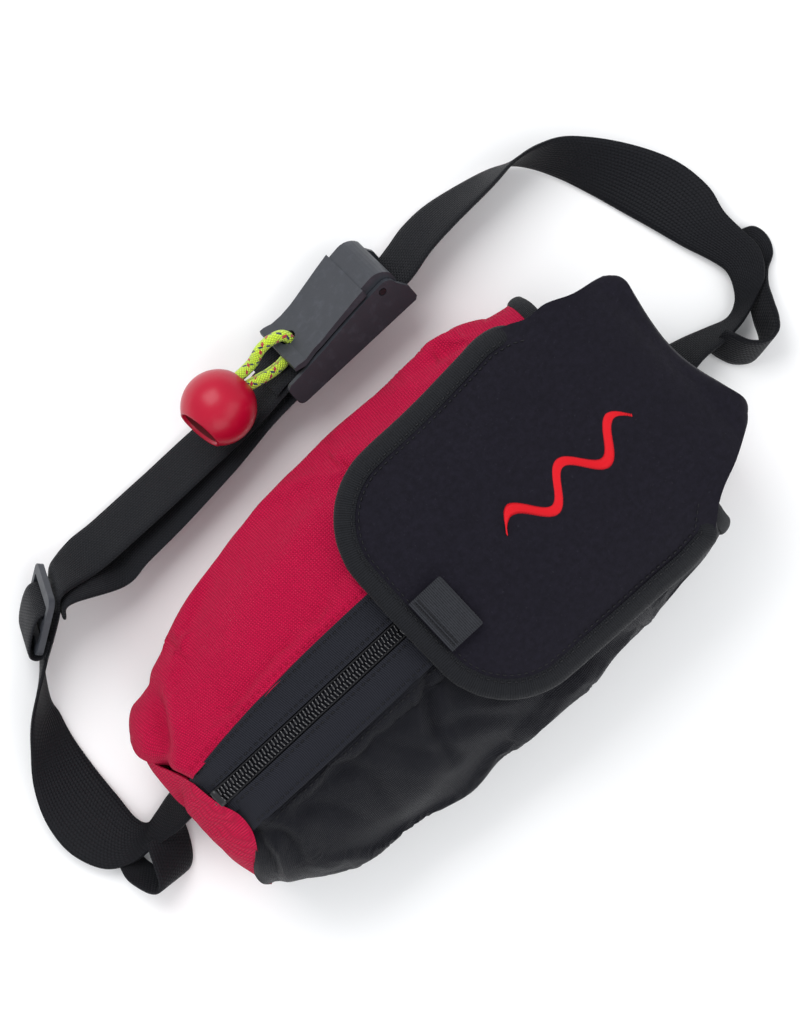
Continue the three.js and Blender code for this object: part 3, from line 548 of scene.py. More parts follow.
def tube_rings(path, radius, sides):
    """Rings round a line, without twist."""
    path = np.asarray(path, float)
    tangent = unit(np.gradient(path, axis=0))
    side = np.zeros_like(tangent)
    start = np.array([0, 0, 1.0]) if abs(tangent[0][2]) < 0.9 else np.array([1.0, 0, 0])
    side[0] = unit(np.cross(tangent[0], start))
    for i in range(1, len(path)):
        side[i] = unit(side[i - 1] - tangent[i] * np.dot(side[i - 1], tangent[i]))
    up = np.cross(tangent, side)
    turn = circle(sides)
    radius = np.broadcast_to(radius, len(path))[:, None]
    return (path[:, None] + side[:, None] * (np.cos(turn) * radius)[..., None]
            + up[:, None] * (np.sin(turn) * radius)[..., None])


def stitches(name, path, normal, material, pitch=3.2, share=0.72, radius=0.28):
    """A run of sewn stitches along a line, each a short thread that dips at both ends."""
    path = np.asarray(path, float)
    run = distance_along(path)
    count = max(int(run[-1] / pitch), 1)
    points, faces = [], []
    dip = np.array([-0.55, 0.12, 0.22, 0.12, -0.55])
    thin = np.array([0.5, 1.0, 1.0, 1.0, 0.5]) * radius
    lift = np.asarray(normal, float)
    for i in range(count):
        at = run[-1] * (i + 0.5) / count + pitch * share * np.linspace(-0.5, 0.5, 5)
        line = np.stack([np.interp(at, run, axis) for axis in path.T], axis=1)
        up = lift if lift.ndim == 1 else np.array([np.interp(at.mean(), run, axis) for axis in lift.T])
        add_tube(points, faces, tube_rings(line + unit(up) * dip[:, None], thin, 6))
    return mesh(name, points, faces, material)


def ridged(points, scale, seed, stretch=(1, 1, 1)):
    """Crease noise at each point, from about -1 to 1."""
    spot = points * np.array(stretch) / scale + seed
    values = [noise.turbulence(Vector(p), 2, False, noise_basis="PERLIN_ORIGINAL") for p in spot.reshape(-1, 3)]
    return np.array(values).reshape(spot.shape[:-1]) * 2 - 1


def settle(grid, pinned, pressure, slack, cap, frames=14):
    """Cloth simulation of a sheet given as a grid: the pinned share of each point is held, slack is
    how much longer the cloth was cut than the shape, and no point moves further than cap."""
    data = bpy.data.meshes.new("settling")
    data.from_pydata((grid.reshape(-1, 3) * MM).tolist(), [], grid_faces(*grid.shape[:2]))
    piece = bpy.data.objects.new("settling", data)
    bpy.context.scene.collection.objects.link(piece)
    group = piece.vertex_groups.new(name="held")
    for i, weight in enumerate(pinned.ravel()):
        group.add([i], float(weight), "REPLACE")
    cloth = piece.modifiers.new("cloth", "CLOTH")
    for setting, value in dict(
        quality=6, mass=0.15, tension_stiffness=25, compression_stiffness=25, shear_stiffness=8,
        bending_stiffness=0.4, vertex_group_mass="held", use_pressure=True, uniform_pressure_force=pressure,
        shrink_min=-slack,
    ).items():
        setattr(cloth.settings, setting, value)
    cloth.settings.effector_weights.gravity = 0
    cloth.point_cache.frame_start = 1
    cloth.point_cache.frame_end = frames
    scene = bpy.context.scene
    for step in range(1, frames + 1):
        scene.frame_set(step)
    settled = piece.evaluated_get(bpy.context.evaluated_depsgraph_get()).to_mesh()
    moved = np.zeros(grid.size, np.float32)
    settled.vertices.foreach_get("co", moved)
    scene.frame_set(1)
    bpy.data.objects.remove(piece)
    shift = moved.reshape(grid.shape).astype(float) / MM - grid
    far = np.linalg.norm(shift, axis=2, keepdims=True)
    return grid + shift * np.minimum(1, cap / np.maximum(far, 1e-9))


def finish_cad(material, bevel, segments, *nodes):
    """CAD nodes kept as they are, with softened edges and their own material."""
    for node in nodes:
        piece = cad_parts[node]
        piece.data.materials.clear()
        piece.data.materials.append(material)
        modifier = piece.modifiers.new("edges", "BEVEL")
        modifier.width = bevel * MM
        modifier.segments = segments
        modifier.limit_method = "ANGLE"
        modifier.angle_limit = math.radians(32)
        piece.data.polygons.foreach_set("use_smooth", [True] * len(piece.data.polygons))


def place(piece, body, slot, *nodes):
    if nodes:
        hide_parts(*nodes)
    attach(piece, body)


# ---------------------------------------------------------------- pouch

HALF_RED = along([(-141, 41), (-139, 43), (-134, 46.8), (-128, 49.6), (-118, 54.6), (-100, 59), (-70, 66), (-40, 71),
                  (0, 73), (42, 72.5), (62, 74), (73, 73), (84, 68.5), (104, 64.5)])
HALF_BLACK = along([(-141, 45), (-137, 48.6), (-132.5, 51.4), (-127, 53.8), (-116, 59.6), (-106, 62.8), (-92, 65),
                    (-70, 68.4), (-50, 71), (-25, 73.3), (10, 72), (50, 69.5), (88, 67.8), (104, 64)])
CREST = along([(-141, 66), (-133, 76.5), (-122, 82), (-100, 84.5), (0, 85), (60, 84.5), (104, 81.5)])


def section(x, angle, offset=0.0):
    """Points on the pouch's section at x, at angles in degrees from straight up towards +Y."""
    x, angle = np.broadcast_arrays(np.asarray(x, float), np.asarray(angle, float))
    s, c = np.sin(np.radians(angle)), np.cos(np.radians(angle))
    wide = np.where(s >= 0, HALF_RED(x), HALF_BLACK(x)) + offset
    tall = np.where(c >= 0, CREST(x) - SECTION_Z, DEPTH_BELOW) + offset
    total = np.abs(s / wide) ** SECTION_POWER + np.abs(c / tall) ** SECTION_POWER
    radius = total ** (-1 / SECTION_POWER)
    z = np.maximum(SECTION_Z + radius * c, FLOOR_Z)
    return np.stack([x, POUCH_Y + radius * s, z], axis=-1)


def arch(share):
    """Height of a section, as a share of its top, at a share of its half width."""
    return (1 - np.clip(share, 0, 1) ** SECTION_POWER) ** (1 / SECTION_POWER)


def rise_over(x, y):
    """Height of the pouch's upper skin above the section's middle."""
    half = np.where(y > POUCH_Y, HALF_RED(x), HALF_BLACK(x))
    return (CREST(x) - SECTION_Z) * arch(np.abs(y - POUCH_Y) / half)


def angle_over(x, y):
    """The section's angle at a place seen from above."""
    return np.degrees(np.arctan2(y - POUCH_Y, rise_over(x, y)))


# Where the side panels meet the end panel, by angle from straight up
END_SEAM = along([(-180, -140.5), (-117, -141), (-80, -141.5), (-58, -140.8), (-50, -138.4), (-37, -132.5),
                  (-26, -128.6), (-15.5, -128.2), (-6, -131), (16, -134), (33, -138.2), (42, -140.4), (60, -141.4),
                  (90, -141.5), (117, -141), (180, -140.5)])


def top_height(x, y):
    """Height of the pouch's upper skin."""
    return SECTION_Z + rise_over(x, y)


def creased(grid, normal, lines):
    """Folds along lines drawn in plan: each is (points, depth, width), with a raised lip beside it."""
    depth = np.zeros(grid.shape[:2])
    for points, deep, wide in lines:
        line = evenly([(x, y, 0) for x, y in points], 60)[:, :2]
        away = np.linalg.norm(grid[:, :, None, :2] - line[None, None], axis=3)
        nearest = away.argmin(axis=2)
        gap = np.take_along_axis(away, nearest[..., None], axis=2)[..., 0]
        fade = np.sin(np.pi * (nearest + 3) / 65) ** 0.6
        lip = 0.45 * np.exp(-(((gap - 2.1 * wide) / (1.3 * wide)) ** 2))
        depth += deep * fade * (lip - np.exp(-((gap / wide) ** 2)))
    upper = np.clip((grid[..., 2] - 26) / 14, 0, 1)
    return grid + normal * (depth * upper)[..., None]


RED_CREASES = (
    (((-119, 56), (-127, 43), (-133, 34), (-139, 28.5)), 4.6, 3.6),
    (((-128, 60), (-137, 46), (-138, 36)), -1.6, 5),
    (((-142, 34), (-138.5, 27), (-134.5, 19), (-132, 11)), 3.6, 2.8),
    (((54, 77), (66, 76), (76, 73), (84, 68)), 2.6, 3),
    (((-60, 66), (-30, 70), (0, 69)), 1.0, 5),
    (((20, 76), (34, 71), (50, 70)), 1.2, 4),
)
BLACK_CREASES = (
    (((-128, -9), (-128.6, -18), (-132, -30), (-139, -41)), 2.8, 2.6),
    (((-27, -14), (-35, -21), (-44, -34), (-48, -50)), 3.0, 2.6),
    (((-128, -15), (-120, -26), (-122, -40)), 3.0, 3.4),
    (((-114, -18), (-100, -28), (-92, -44)), 1.6, 3.0),
    (((-88, -16), (-78, -28), (-80, -46)), 1.6, 3.0),
    (((-66, -18), (-60, -34), (-44, -50)), 1.5, 3.2),
    (((-22, -40), (0, -48), (20, -56)), 1.6, 3.2),
    (((-50, -34), (-30, -44), (-14, -58)), 1.5, 3.0),
)

# Points along and down a side panel's grid, its rough size, and how far the cloth simulation may move it
PANEL_STEPS = (150, 84)
PANEL_LENGTH = 240
PANEL_GIRTH = 130
MOST_SHIFT = 4.5
# Side, cut slack, air pressure, crease seed, crease depth and folds (points in plan, depth, width)
SIDES = {
    "red": (1, 0.03, 1.6, 3.1, 0.6, RED_CREASES),
    "black": (-1, 0.032, 1.5, 8.7, 1.1, BLACK_CREASES),
}


def side_panel(side, slack, pressure):
    """One side's cloth as a grid along the pouch and from the zip's seam down to the bottom's."""
    u = np.linspace(0, 1, PANEL_STEPS[0])[:, None]
    v = np.linspace(0, 1, PANEL_STEPS[1])
    seam_x = np.linspace(-133, RIM_X, PANEL_STEPS[0])[:, None]
    seam = angle_over(seam_x, facing_edge(seam_x) if side > 0 else FACING_BLACK_Y)
    angle = seam + (side * SIDE_SEAM - seam) * v
    x = END_SEAM(angle) + (RIM_X - END_SEAM(angle)) * u
    grid = section(x, angle)
    seams = np.minimum(v, 1 - v) * PANEL_GIRTH
    start, end = u * PANEL_LENGTH, (1 - u) * PANEL_LENGTH
    held = np.clip(1 - np.minimum(np.minimum(start - 6, end), seams) / 5, 0, 1)
    loose = np.clip(np.minimum(np.minimum(start - 4, end + 6) / 36, seams / 14), 0, 1)[..., None]
    if side < 0:
        grid, held, loose = grid[:, ::-1], held[:, ::-1], loose[:, ::-1]
    return grid + (settle(grid, held, pressure, slack, MOST_SHIFT) - grid) * loose**1.5


MIDDLE = np.array([0, POUCH_Y, SECTION_Z])


def under_flap(grid, most):
    """Presses a panel down where the flap lies over it."""
    cover = np.clip((grid[..., 0] + 34) / 14, 0, 1) * np.clip((grid[..., 2] - 60) / 10, 0, 1)
    out = grid - MIDDLE
    angle = np.degrees(np.arctan2(grid[..., 1] - POUCH_Y, grid[..., 2] - SECTION_Z))
    reach = np.linalg.norm(out[..., 1:], axis=-1)
    limit = np.linalg.norm((section(grid[..., 0], angle, most) - MIDDLE)[..., 1:], axis=-1)
    share = np.where(reach > limit, limit / np.maximum(reach, 1e-9), 1)
    share = 1 - (1 - share) * cover
    out[..., 1:] *= share[..., None]
    return MIDDLE + out


def make_side_panels(m):
    settled = [side_panel(side, slack, pressure) for side, slack, pressure, *_ in SIDES.values()]
    for grid, (label, (_, _, _, seed, deep, folds)) in zip(settled, SIDES.items()):
        crease = ridged(grid, 30, seed, (1, 0.7, 0.7)) * deep
        fade = np.clip((grid[..., 2] - 6) / 8, 0, 1)[..., None]
        normal = normals(grid)
        grid = under_flap(creased(grid, normal, folds) + normal * crease[..., None] * fade, 0.8)
        name = f"pouch_{label}_side"
        piece = shell(name, grid, 1.1, m[label])
        place(piece, "pouch", f"{label}_cloth", f"pouch_{label}_panel")
        for column, tag in ((3, "seam_a"), (PANEL_STEPS[1] - 4, "seam_b")):
            up = normal[4:-2, column]
            thread = m["red"] if (label, tag) == ("red", "seam_a") else m["thread"]
            place(stitches(f"{name}_{tag}", grid[4:-2, column] + up * 0.15, up, thread), "pouch", "zip")


def make_end_panel(m):
    """The closed end: a gathered dome from the sides' seam, with the folds that its corners make."""
    angle = np.linspace(-180, 180, 168, endpoint=False)
    ring = section(END_SEAM(angle), angle, -0.6)
    ring[:, 0] += 1.5
    centre = np.array([-145.2, POUCH_Y, 37.0])
    r = np.linspace(0.02, 1, 30)[:, None]
    flat = centre[1:] + (ring[:, 1:] - centre[1:]) * (1 - (1 - r) ** 1.05)[..., None]
    x = centre[0] + (ring[:, 0] - centre[0]) * r**3.2
    grid = surface(x, flat[..., 0], flat[..., 1])
    pleat = 0.9 * np.cos(np.radians(angle) * 19) * r**3 * (1 - r) * 4
    fold = np.exp(-(((angle - 24) / 9) ** 2)) * r * (1 - r) * 4
    grid[..., 0] += pleat * 0.6 + fold * 3.2
    grid[..., 0] -= ridged(grid, 26, 5.5) * 0.8 * (1 - r**6)
    inner = grid + np.array([1.2, 0, 0])
    inner[-1] = grid[-1] + (centre - grid[-1]) * 0.012
    rings = np.concatenate([grid, inner[::-1]])[:, ::-1]
    weave = uv_pairs(rings[..., 1], rings[..., 2] - rings[..., 0])
    piece = loft("pouch_red_end", rings, m["red"], weave, angle=60)
    place(piece, "pouch", "red_cloth", "pouch_end_panel")


def make_back(m):
    """Back panel, floor panel and the piping between them."""
    x = np.linspace(-138, 117, 90)[:, None]
    v = np.linspace(-1, 1, 50)
    taper = np.where(x > 104, 1 - (x - 104) * 0.018, 1)
    for name, node, share, low, high in (
        ("back_cloth", "pouch_back_panel", 0.82, 0.0, 1.6),
        ("floor_cloth", "pouch_floor", 0.8, FLOOR_Z, FLOOR_Z + 1.6),
    ):
        y = POUCH_Y + v * (np.where(v < 0, HALF_BLACK(x), HALF_RED(x)) * share * taper)
        piece = shell(name, surface(x, y, high), 0, m["black"], surface(x, y, low))
        place(piece, "pouch", "black_cloth", node)
    for label in ("black", "red"):
        side = SIDES[label][0]
        line = section(np.linspace(-140, RIM_X, 120), side * 119.5, -0.2)
        line[:, 2] = 4.2
        line[:, 1] -= side * 1.2
        place(loft(f"bottom_piping_{label}_side", tube_rings(line, 2.1, 12), m["binding"]), "pouch", "binding")


def make_rim(m):
    t = circle(20)
    for label, edge_y in (("red", FACING_RED_Y), ("black", FACING_BLACK_Y)):
        angle = np.linspace(angle_over(RIM_X, edge_y), SIDES[label][0] * SIDE_SEAM, 90)[:, None]
        ripple = 0.5 * np.sin(np.radians(angle) * 17)
        rings = section(RIM_X + 2.4 + 3.4 * np.cos(t) + 0.4 * ripple, angle, -0.8 + 1.9 * np.sin(t))
        rim = loft(f"mouth_binding_{label}_side", rings, m["binding"])
        place(rim, "pouch", "binding", f"mouth_rim_{label}")


def zip_height(x):
    """Height of the zip's tape, which dips into the seam at the closed end."""
    t = np.clip((-112 - x) / 19, 0, 1)
    return ZIP_Z - 5.2 * t * t


def zip_start(y):
    """Where the end panel's seam crosses the zip and its facings."""
    return np.interp(y, (-15, -5, 2, 10, 25), (-128.6, -128.4, -131.2, -132.8, -135.6)) + 0.4


def facing_edge(x):
    """The red side's seam with its facing, which runs in towards the zip at the closed end."""
    t = np.clip((-50 - x) / 84, 0, 1)
    return FACING_RED_Y - 5.8 * t * t


def make_zip(m):
    """Facings, tapes and the two rows of the coil, laid in the valley along the pouch's crest."""
    share = np.linspace(0, 1, 120)[:, None]
    s = np.linspace(0, 1, 16)
    for label, y0, y1 in (
        ("red", ZIP_Y + 4.2, FACING_RED_Y + 0.8),
        ("black", FACING_BLACK_Y - 0.8, ZIP_Y - 4.2),
    ):
        y = y0 + (y1 - y0) * s
        x = zip_start(y) + (FACING_END - zip_start(y)) * share
        outer, seam_y = 1 - s, y0
        if label == "red":
            # The seam's place depends on x and x on y, so both are found twice
            outer, seam_y = s, facing_edge(x) + 0.8
            y = y0 + (seam_y - y0) * s
            x = zip_start(y) + (FACING_END - zip_start(y)) * share
            seam_y = facing_edge(x) + 0.8
        z = zip_height(x) + 2.2 + (top_height(x, seam_y) + 0.6 - zip_height(x) - 2.2) * outer**1.6
        z = z + 0.4 * np.sin(x / 9 + 3 * outer) * np.sin(np.pi * outer) - 3.8 * np.clip(1 - share * 12, 0, 1) ** 2
        grid = surface(x, y, z)
        facing = shell(f"zip_facing_{label}_cloth", grid, 0.9, m["facing"])
        place(facing, "pouch", "binding", f"zip_facing_{label}_side")
        for column, tag in ((2, "inner"), (13, "outer")):
            run = grid[3:-3, column if label == "red" else 15 - column] + np.array([0, 0, 0.1])
            place(stitches(f"zip_facing_{label}_{tag}_stitching", run, (0, 0, 1), m["thread"], 2.8), "pouch", "zip")
    x = np.linspace(-130, FACING_END, 120)[:, None]
    turn = circle(8)
    p = np.array([-1, -0.86, -0.5, 0, 0.5, 0.86, 1])[:, None]
    thin = np.sqrt(np.maximum(1 - p * p, 0.02))
    for label, side in (("red", 1), ("black", -1)):
        y = ZIP_Y + side * np.linspace(0.05, 9, 14)[::side]
        tape = shell(f"zip_tape_{label}_cloth", surface(x, y, zip_height(x)), 0.7, m["facing"])
        place(tape, "pouch", "zip", f"zip_tape_{label}_side")
        points, faces = [], []
        for i in range(int(COIL_LENGTH / COIL_PITCH)):
            cx = -130.5 + COIL_PITCH * (i + (0.5 if side > 0 else 0))
            cy = ZIP_Y + side * 1.55
            rings = surface(cx + 0.62 * np.cos(turn) * thin + 0.25 * p * side, cy + 1.75 * p,
                            zip_height(cx) + 1.25 + 0.95 * np.sin(turn) * thin)
            add_tube(points, faces, rings, flip=False)
        coil = mesh(f"zip_coil_{label}_teeth", points, faces, m["zip"])
        place(coil, "pouch", "zip", f"zip_coil_{label}_side")
        core_x = np.linspace(-131, 60, 100)
        core = tube_rings(surface(core_x, ZIP_Y + side * 3.4, zip_height(core_x) + 0.9), 0.55, 8)
        place(loft(f"zip_coil_{label}_core", core, m["thread"]), "pouch", "zip")
    finish_cad(m["zip"], 0.25, 2, "zip_slider", "zip_puller")
    turn = circle(14)
    y, k = np.array([(0.6, 0.5), (1.0, 0.9), (2.4, 1), (4.5, 1), (6.6, 1), (8.0, 0.9), (8.4, 0.5)]).T[..., None]
    stop = surface(-128.2 + 1.6 * k * np.cos(turn), y, zip_height(-128) + 1.7 + k * np.sin(turn))
    place(loft("zip_stop_clip", stop, m["pin"]), "pouch", "zip", "zip_bottom_stop")
    y = np.linspace(FACING_BLACK_Y - 2.5, FACING_RED_Y + 2.5, 30)
    x = np.linspace(64, RIM_X + 4.5, 24)[:, None]
    z = top_height(x, y) + 0.7 - 1.5 * (1 - ((y - 4.5) / 21) ** 2)
    place(shell("pouch_top_cloth", surface(x, y, z), 1.1, m["black"]), "pouch", "black_cloth", "pouch_top_band")


# ---------------------------------------------------------------- flap

FLAP_Y = 6.0
FLAP_FRONT = -26.0
FLAP_THICK = 3.4
CORNER_RADIUS = 38
# Half widths at the fold over the mouth, and the fold's middle
FOLD_HALF = (46.5, 35.0)
FOLD_MID = 132
HEM_Z = 5.9
FLAP_CREST = along([(-26, 88.4), (0, 88.7), (60, 88.1), (96, 85.4), (112, 81.5), (122, 77.5), (129, 73.5)])
FLAP_BEND = along([(-26, 76), (20, 77.5), (70, 75), (92, 76), (106, 95), (129, 150)])
# Half widths on the +Y and -Y sides of the middle line, by distance from the front edge
UPPER_EDGE = along([(12, 61.5), (40, 61.5), (60, 62.6), (84, 62.8), (90, 60.8), (96, 57.8), (106, 56.8), (117, 52.2),
                    (130, 49.6), (138, 47)])
LOWER_EDGE = along([(12, 62.5), (60, 64), (86, 64), (92, 62.8), (97, 59), (102, 54.6), (106, 52), (120, 46),
                    (134, 38.6), (141, 34.2)])
# The fold at the mouth, seen from above: its two corners are drawn out
FOLD_X = along([(-29, 140.2), (-23, 140), (-12, 137), (-2, 134), (8, 132.2), (16, 132), (27, 133.4), (38, 135.8),
                (46, 137.6), (54, 138)])


def flap_edge(x, side):
    """Distance from the flap's middle line to its edge."""
    t = np.clip((FLAP_FRONT + CORNER_RADIUS - x) / CORNER_RADIUS, 0, 1)
    return (UPPER_EDGE(x) if side > 0 else LOWER_EDGE(x)) - CORNER_RADIUS * (1 - np.sqrt(1 - t * t))


def flap_top(x, y):
    """Height of the flap's upper face."""
    tall = FLAP_CREST(x) - SECTION_Z
    return SECTION_Z + FLAP_THICK + tall * arch(np.abs(y - FLAP_Y) / FLAP_BEND(x))


# The end panel from the fold down to its hem: x and z from the fold
END_PROFILE = [(0, 0), (0.9, -3.5), (1.4, -8), (1.5, -22), (0.6, -36), (-1.6, -51), (-6, -63), (-11, -69.5),
               (-14.5, -71.6)]


def flap_grid(inset):
    """The neoprene in one sheet: over the top from the front edge, round the fold and down the mouth."""
    s = np.linspace(0, 1, 92)[:, None]
    s = np.where(s < 0.35, s * s / 0.7, s - 0.175) / 0.825
    v = np.linspace(-1, 1, 120)
    fold_half = np.where(v > 0, *FOLD_HALF)
    corner = np.clip((np.abs(v) * fold_half - fold_half + 8) / 8, 0, 1)
    reach = FOLD_X(FLAP_Y + v * fold_half) - 7 * (1 - np.sqrt(1 - 0.98 * corner**2))
    front = FLAP_FRONT + inset
    x = front + (reach - front) * s
    y = FLAP_Y + v * (np.where(v > 0, flap_edge(x, 1), flap_edge(x, -1)) - inset)
    z = flap_top(x, y) - 3.2 * np.clip((s - 0.93) / 0.07, 0, 1) ** 2.2
    over_top = surface(x, y, z)
    dx, dz = evenly([(x, z, 0) for x, z in END_PROFILE], 46)[1:, :2].T[..., None]
    t = np.linspace(0, 1, 46)[1:, None]
    y = FLAP_Y + v * np.where(v > 0, FOLD_HALF[0] - 9 * t, FOLD_HALF[1] + 1.5 * t)
    drawn = (reach - FOLD_MID) * (1 - t) ** 1.2
    z = z[-1] + (HEM_Z - z[-1]) * (dz / END_PROFILE[-1][1])
    return np.concatenate([over_top, surface(FOLD_MID + dx + drawn, y, z)])


def make_flap(m):
    grid = flap_grid(1.6)
    puff = np.array([noise.noise(Vector(p / 46 + 2.0)) for p in grid.reshape(-1, 3)]).reshape(grid.shape[:2])
    v = np.linspace(-1, 1, grid.shape[1])
    calm = np.clip((1 - np.abs(v)) * 8, 0, 1) * np.clip(np.arange(grid.shape[0]) / 8, 0, 1)[:, None]
    grid = grid + normals(grid) * (puff * calm * 0.9)[..., None]
    piece = shell("flap_neoprene", grid, FLAP_THICK - 0.2, m["neoprene"])
    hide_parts("flap", "flap_end_panel")
    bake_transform(piece)

    # Binding round the free edge
    stations = [95, 93, 91, *np.linspace(87, 14, 8)]
    corner = [FLAP_FRONT + CORNER_RADIUS * (1 - math.cos(math.radians(a))) for a in (78, 62, 46, 30, 16, 6)]
    outline = [(x, FLAP_Y + flap_edge(x, 1), 0) for x in stations + corner]
    outline += [(FLAP_FRONT - 0.1, 22, 0), (FLAP_FRONT - 0.3, 6, 0), (FLAP_FRONT - 0.1, -10, 0)]
    outline += [(x, FLAP_Y - flap_edge(x, -1), 0) for x in (*corner[::-1], *stations[::-1], 97, 100, 103)]
    edge = evenly(outline, 260)[:, :2]
    tangent = unit(np.gradient(edge, axis=0))
    inward = np.stack([-tangent[:, 1], tangent[:, 0]], axis=1)
    inward *= np.sign((inward * (np.array([45, FLAP_Y]) - edge)).sum(1))[:, None]
    half = FLAP_THICK / 2 + 0.55
    # Section of the folded tape: inward distance and height from the neoprene's mid-thickness
    tape = [(8.2, half - 0.5), (7.8, half), (5, half + 0.35), (1.6, half + 0.2), (0, half - 0.8), (-0.7, 0),
            (0, -half + 0.8), (1.6, -half - 0.1), (5, -half - 0.1), (7.8, -half), (8.2, -half + 0.5), (4, 0)]
    inside, height = np.array(tape).T
    x, y = np.moveaxis(edge[:, None] + inward[:, None] * inside[:, None], 2, 0)
    rings = surface(x, y, flap_top(np.maximum(x, FLAP_FRONT), y) - FLAP_THICK / 2 + height)
    rings[:, 1:4, 2] += 0.18 * np.sin(np.arange(260) * 1.3)[:, None]
    for end in (rings[:12], rings[:-13:-1]):
        tuck = end[:, 8:9] + np.array([0, 0, 0.6])
        full = np.sin(np.linspace(0.03, 1, 12) * math.pi / 2)[:, None, None]
        end[:] = tuck + (end - tuck) * full
    place(loft("flap_edge_tape", rings, m["binding"], angle=70), "flap_cover", "binding", "flap_binding")
    seam = (rings[:, 2] * 0.35 + rings[:, 1] * 0.65)[8:-8]
    x, y = (edge + inward * 9.6).T
    for name, line, lift in (("tape", seam, 0.25), ("inner", surface(x, y, flap_top(x, y)), 0.05)):
        thread = stitches(f"flap_{name}_stitching", line + np.array([0, 0, lift]), (0, 0, 1), m["thread"], 3.0)
        place(thread, "flap_cover", "binding")


def make_flap_details(m):
    top = flap_top(-9, -3)
    path = [(x, top + z) for x, z in ((-17.5, 0.7), (-12, 0.9), (-6, 1.3), (-2.4, 2.0), (-1.0, 3.0), (-2.6, 3.9),
                                      (-7, 3.5), (-12, 2.9), (-17.5, 2.4))]
    tab = ribbon("flap_tab_webbing", *flat_strap(path, -16.2, 9.8), 80, m["tab"], 1.25)
    place(tab, "flap_cover", "webbing", "flap_pull_tab")
    for x in (-15.2, -13.6):
        run = [(x, y, top + 3.3) for y in np.linspace(-15.2, 8.8, 20)]
        tack = stitches(f"flap_tab_bartack_{int(-x * 10)}", run, (0, 0, 1), m["thread"], 1.3, 0.9, 0.3)
        place(tack, "flap_cover", "webbing")

    # Generic motif: a rolling wave in satin stitch
    points, faces = [], []
    xs = np.arange(31, 101, 0.4)
    phase = (xs - 31) / 70 * 5 * np.pi
    y = 3.6 + 6.2 * np.sin(phase)
    taper = np.clip(np.minimum(xs - 31, 101 - xs) / 8, 0.2, 1) * (0.8 + 0.3 * np.cos(phase / 2) ** 2)
    for x, yy, t, slope in zip(xs, y, taper, np.gradient(y, xs)):
        reach = 5.6 * t / 2 * math.sqrt(1 + 0.35 * slope**2)
        line_y = yy + np.linspace(-reach, reach, 5)
        line_x = x + 0.35 * np.linspace(-1, 1, 5)
        line = surface(line_x, line_y, flap_top(line_x, line_y) + np.array([-0.25, 0.35, 0.5, 0.35, -0.25]))
        add_tube(points, faces, tube_rings(line, np.array([0.18, 0.27, 0.27, 0.27, 0.18]), 5))
    place(mesh("flap_wave_motif", points, faces, m["motif"]), "flap_cover", "thread", "flap_emblem")

    # Hook patches under the flap, loop patches on the pouch
    x = np.linspace(-12, 18, 30)[:, None]
    for label, side in (("red", 1), ("black", -1)):
        y = POUCH_Y + side * np.linspace(22, 42, 24)[::side]
        hooks = shell(f"hook_patch_{label}_tape", surface(x, y, flap_top(x, y) - FLAP_THICK - 0.2), 0.9, m["hook"])
        place(hooks, "flap_cover", "binding", f"hook_patch_{label}_side")
        loops = section(x, side * np.linspace(27, 45, 24)[::side], 1.6)
        place(shell(f"loop_patch_{label}_tape", loops, 0.9, m["hook"]), "pouch", "binding", f"loop_patch_{label}_side")


# ---------------------------------------------------------------- belt

GLIDE_ALONG = Vector((0.68, 0.4, 0.45)).normalized()
GLIDE_NORMAL = GLIDE_ALONG.cross(Vector((0.4, 0.68, -0.62))).normalized()
GLIDE_ACROSS = GLIDE_NORMAL.cross(GLIDE_ALONG)
GLIDE_CENTRE = Vector((-134.5, 113.5, 19.6))


def at_glide(along_it, across_it, out):
    return tuple(GLIDE_CENTRE + GLIDE_ALONG * along_it + GLIDE_ACROSS * across_it + GLIDE_NORMAL * out)


# The straps' two edges, from the sleeve outwards
LEFT_TOP = [(-137.5, -4.2, 3.6), (-141.5, -0.5, 11), (-146, 4.5, 18.5), (-156, 4.6, 15), (-169, 6.4, 10),
            (-181, 7.6, 7), (-191.5, 14.5, 6.6), (-197, 29, 8), (-195.5, 45, 9.5), (-188.5, 60, 13), (-179, 71, 18),
            (-167, 82, 23.5)]
LEFT_FLOOR = [(-137.5, 20.6, 2.9), (-141.5, 20, 3), (-146, 19, 3), (-152, 18, 2.6), (-158, 16.5, 2.6),
              (-164, 15.8, 3.6), (-166.5, 21, 4), (-166, 32, 3), (-165, 48, 1.8), (-163, 64, 1.4), (-160, 76, 1.3),
              (-157.5, 86, 1.4)]
RIGHT_TOP = [(117.8, -4.4, 3.1), (126, -4.6, 9.8), (137, -2, 19), (146, -1, 17), (156, -1.6, 14), (167, -0.9, 11),
             (179, 2.4, 9), (188.5, 7.2, 9), (194.4, 17, 9.5), (194.4, 28, 9), (194.2, 39, 8.4), (196.6, 52, 8),
             (193.2, 70, 10), (181.8, 90, 14), (167, 106.6, 20.5), (154.6, 112.8, 24.4), (142, 114.8, 25.2),
             (128, 113.6, 24.4), (105, 112.4, 22.4), (90, 111, 22.4), (79, 108.6, 23.2)]
RIGHT_FLOOR = [(117.8, 20.6, 2.8), (126, 18, 2.8), (137, 13.8, 3), (146, 10.9, 2.8), (155, 7.6, 2.6), (164, 4.6, 3.6),
               (170.5, 6.8, 4.4), (175.2, 12.5, 4.8), (177.6, 19.5, 4.6), (176, 27.5, 3.8), (171.5, 40, 3),
               (167, 55, 2.2), (162.5, 69, 1.8), (158, 83, 1.6), (153, 97, 1.4), (147, 109, 1.4), (140, 117, 1.4),
               (128, 122.5, 1.5), (105, 127.6, 2), (90, 128, 2.8), (79, 126, 4.2)]

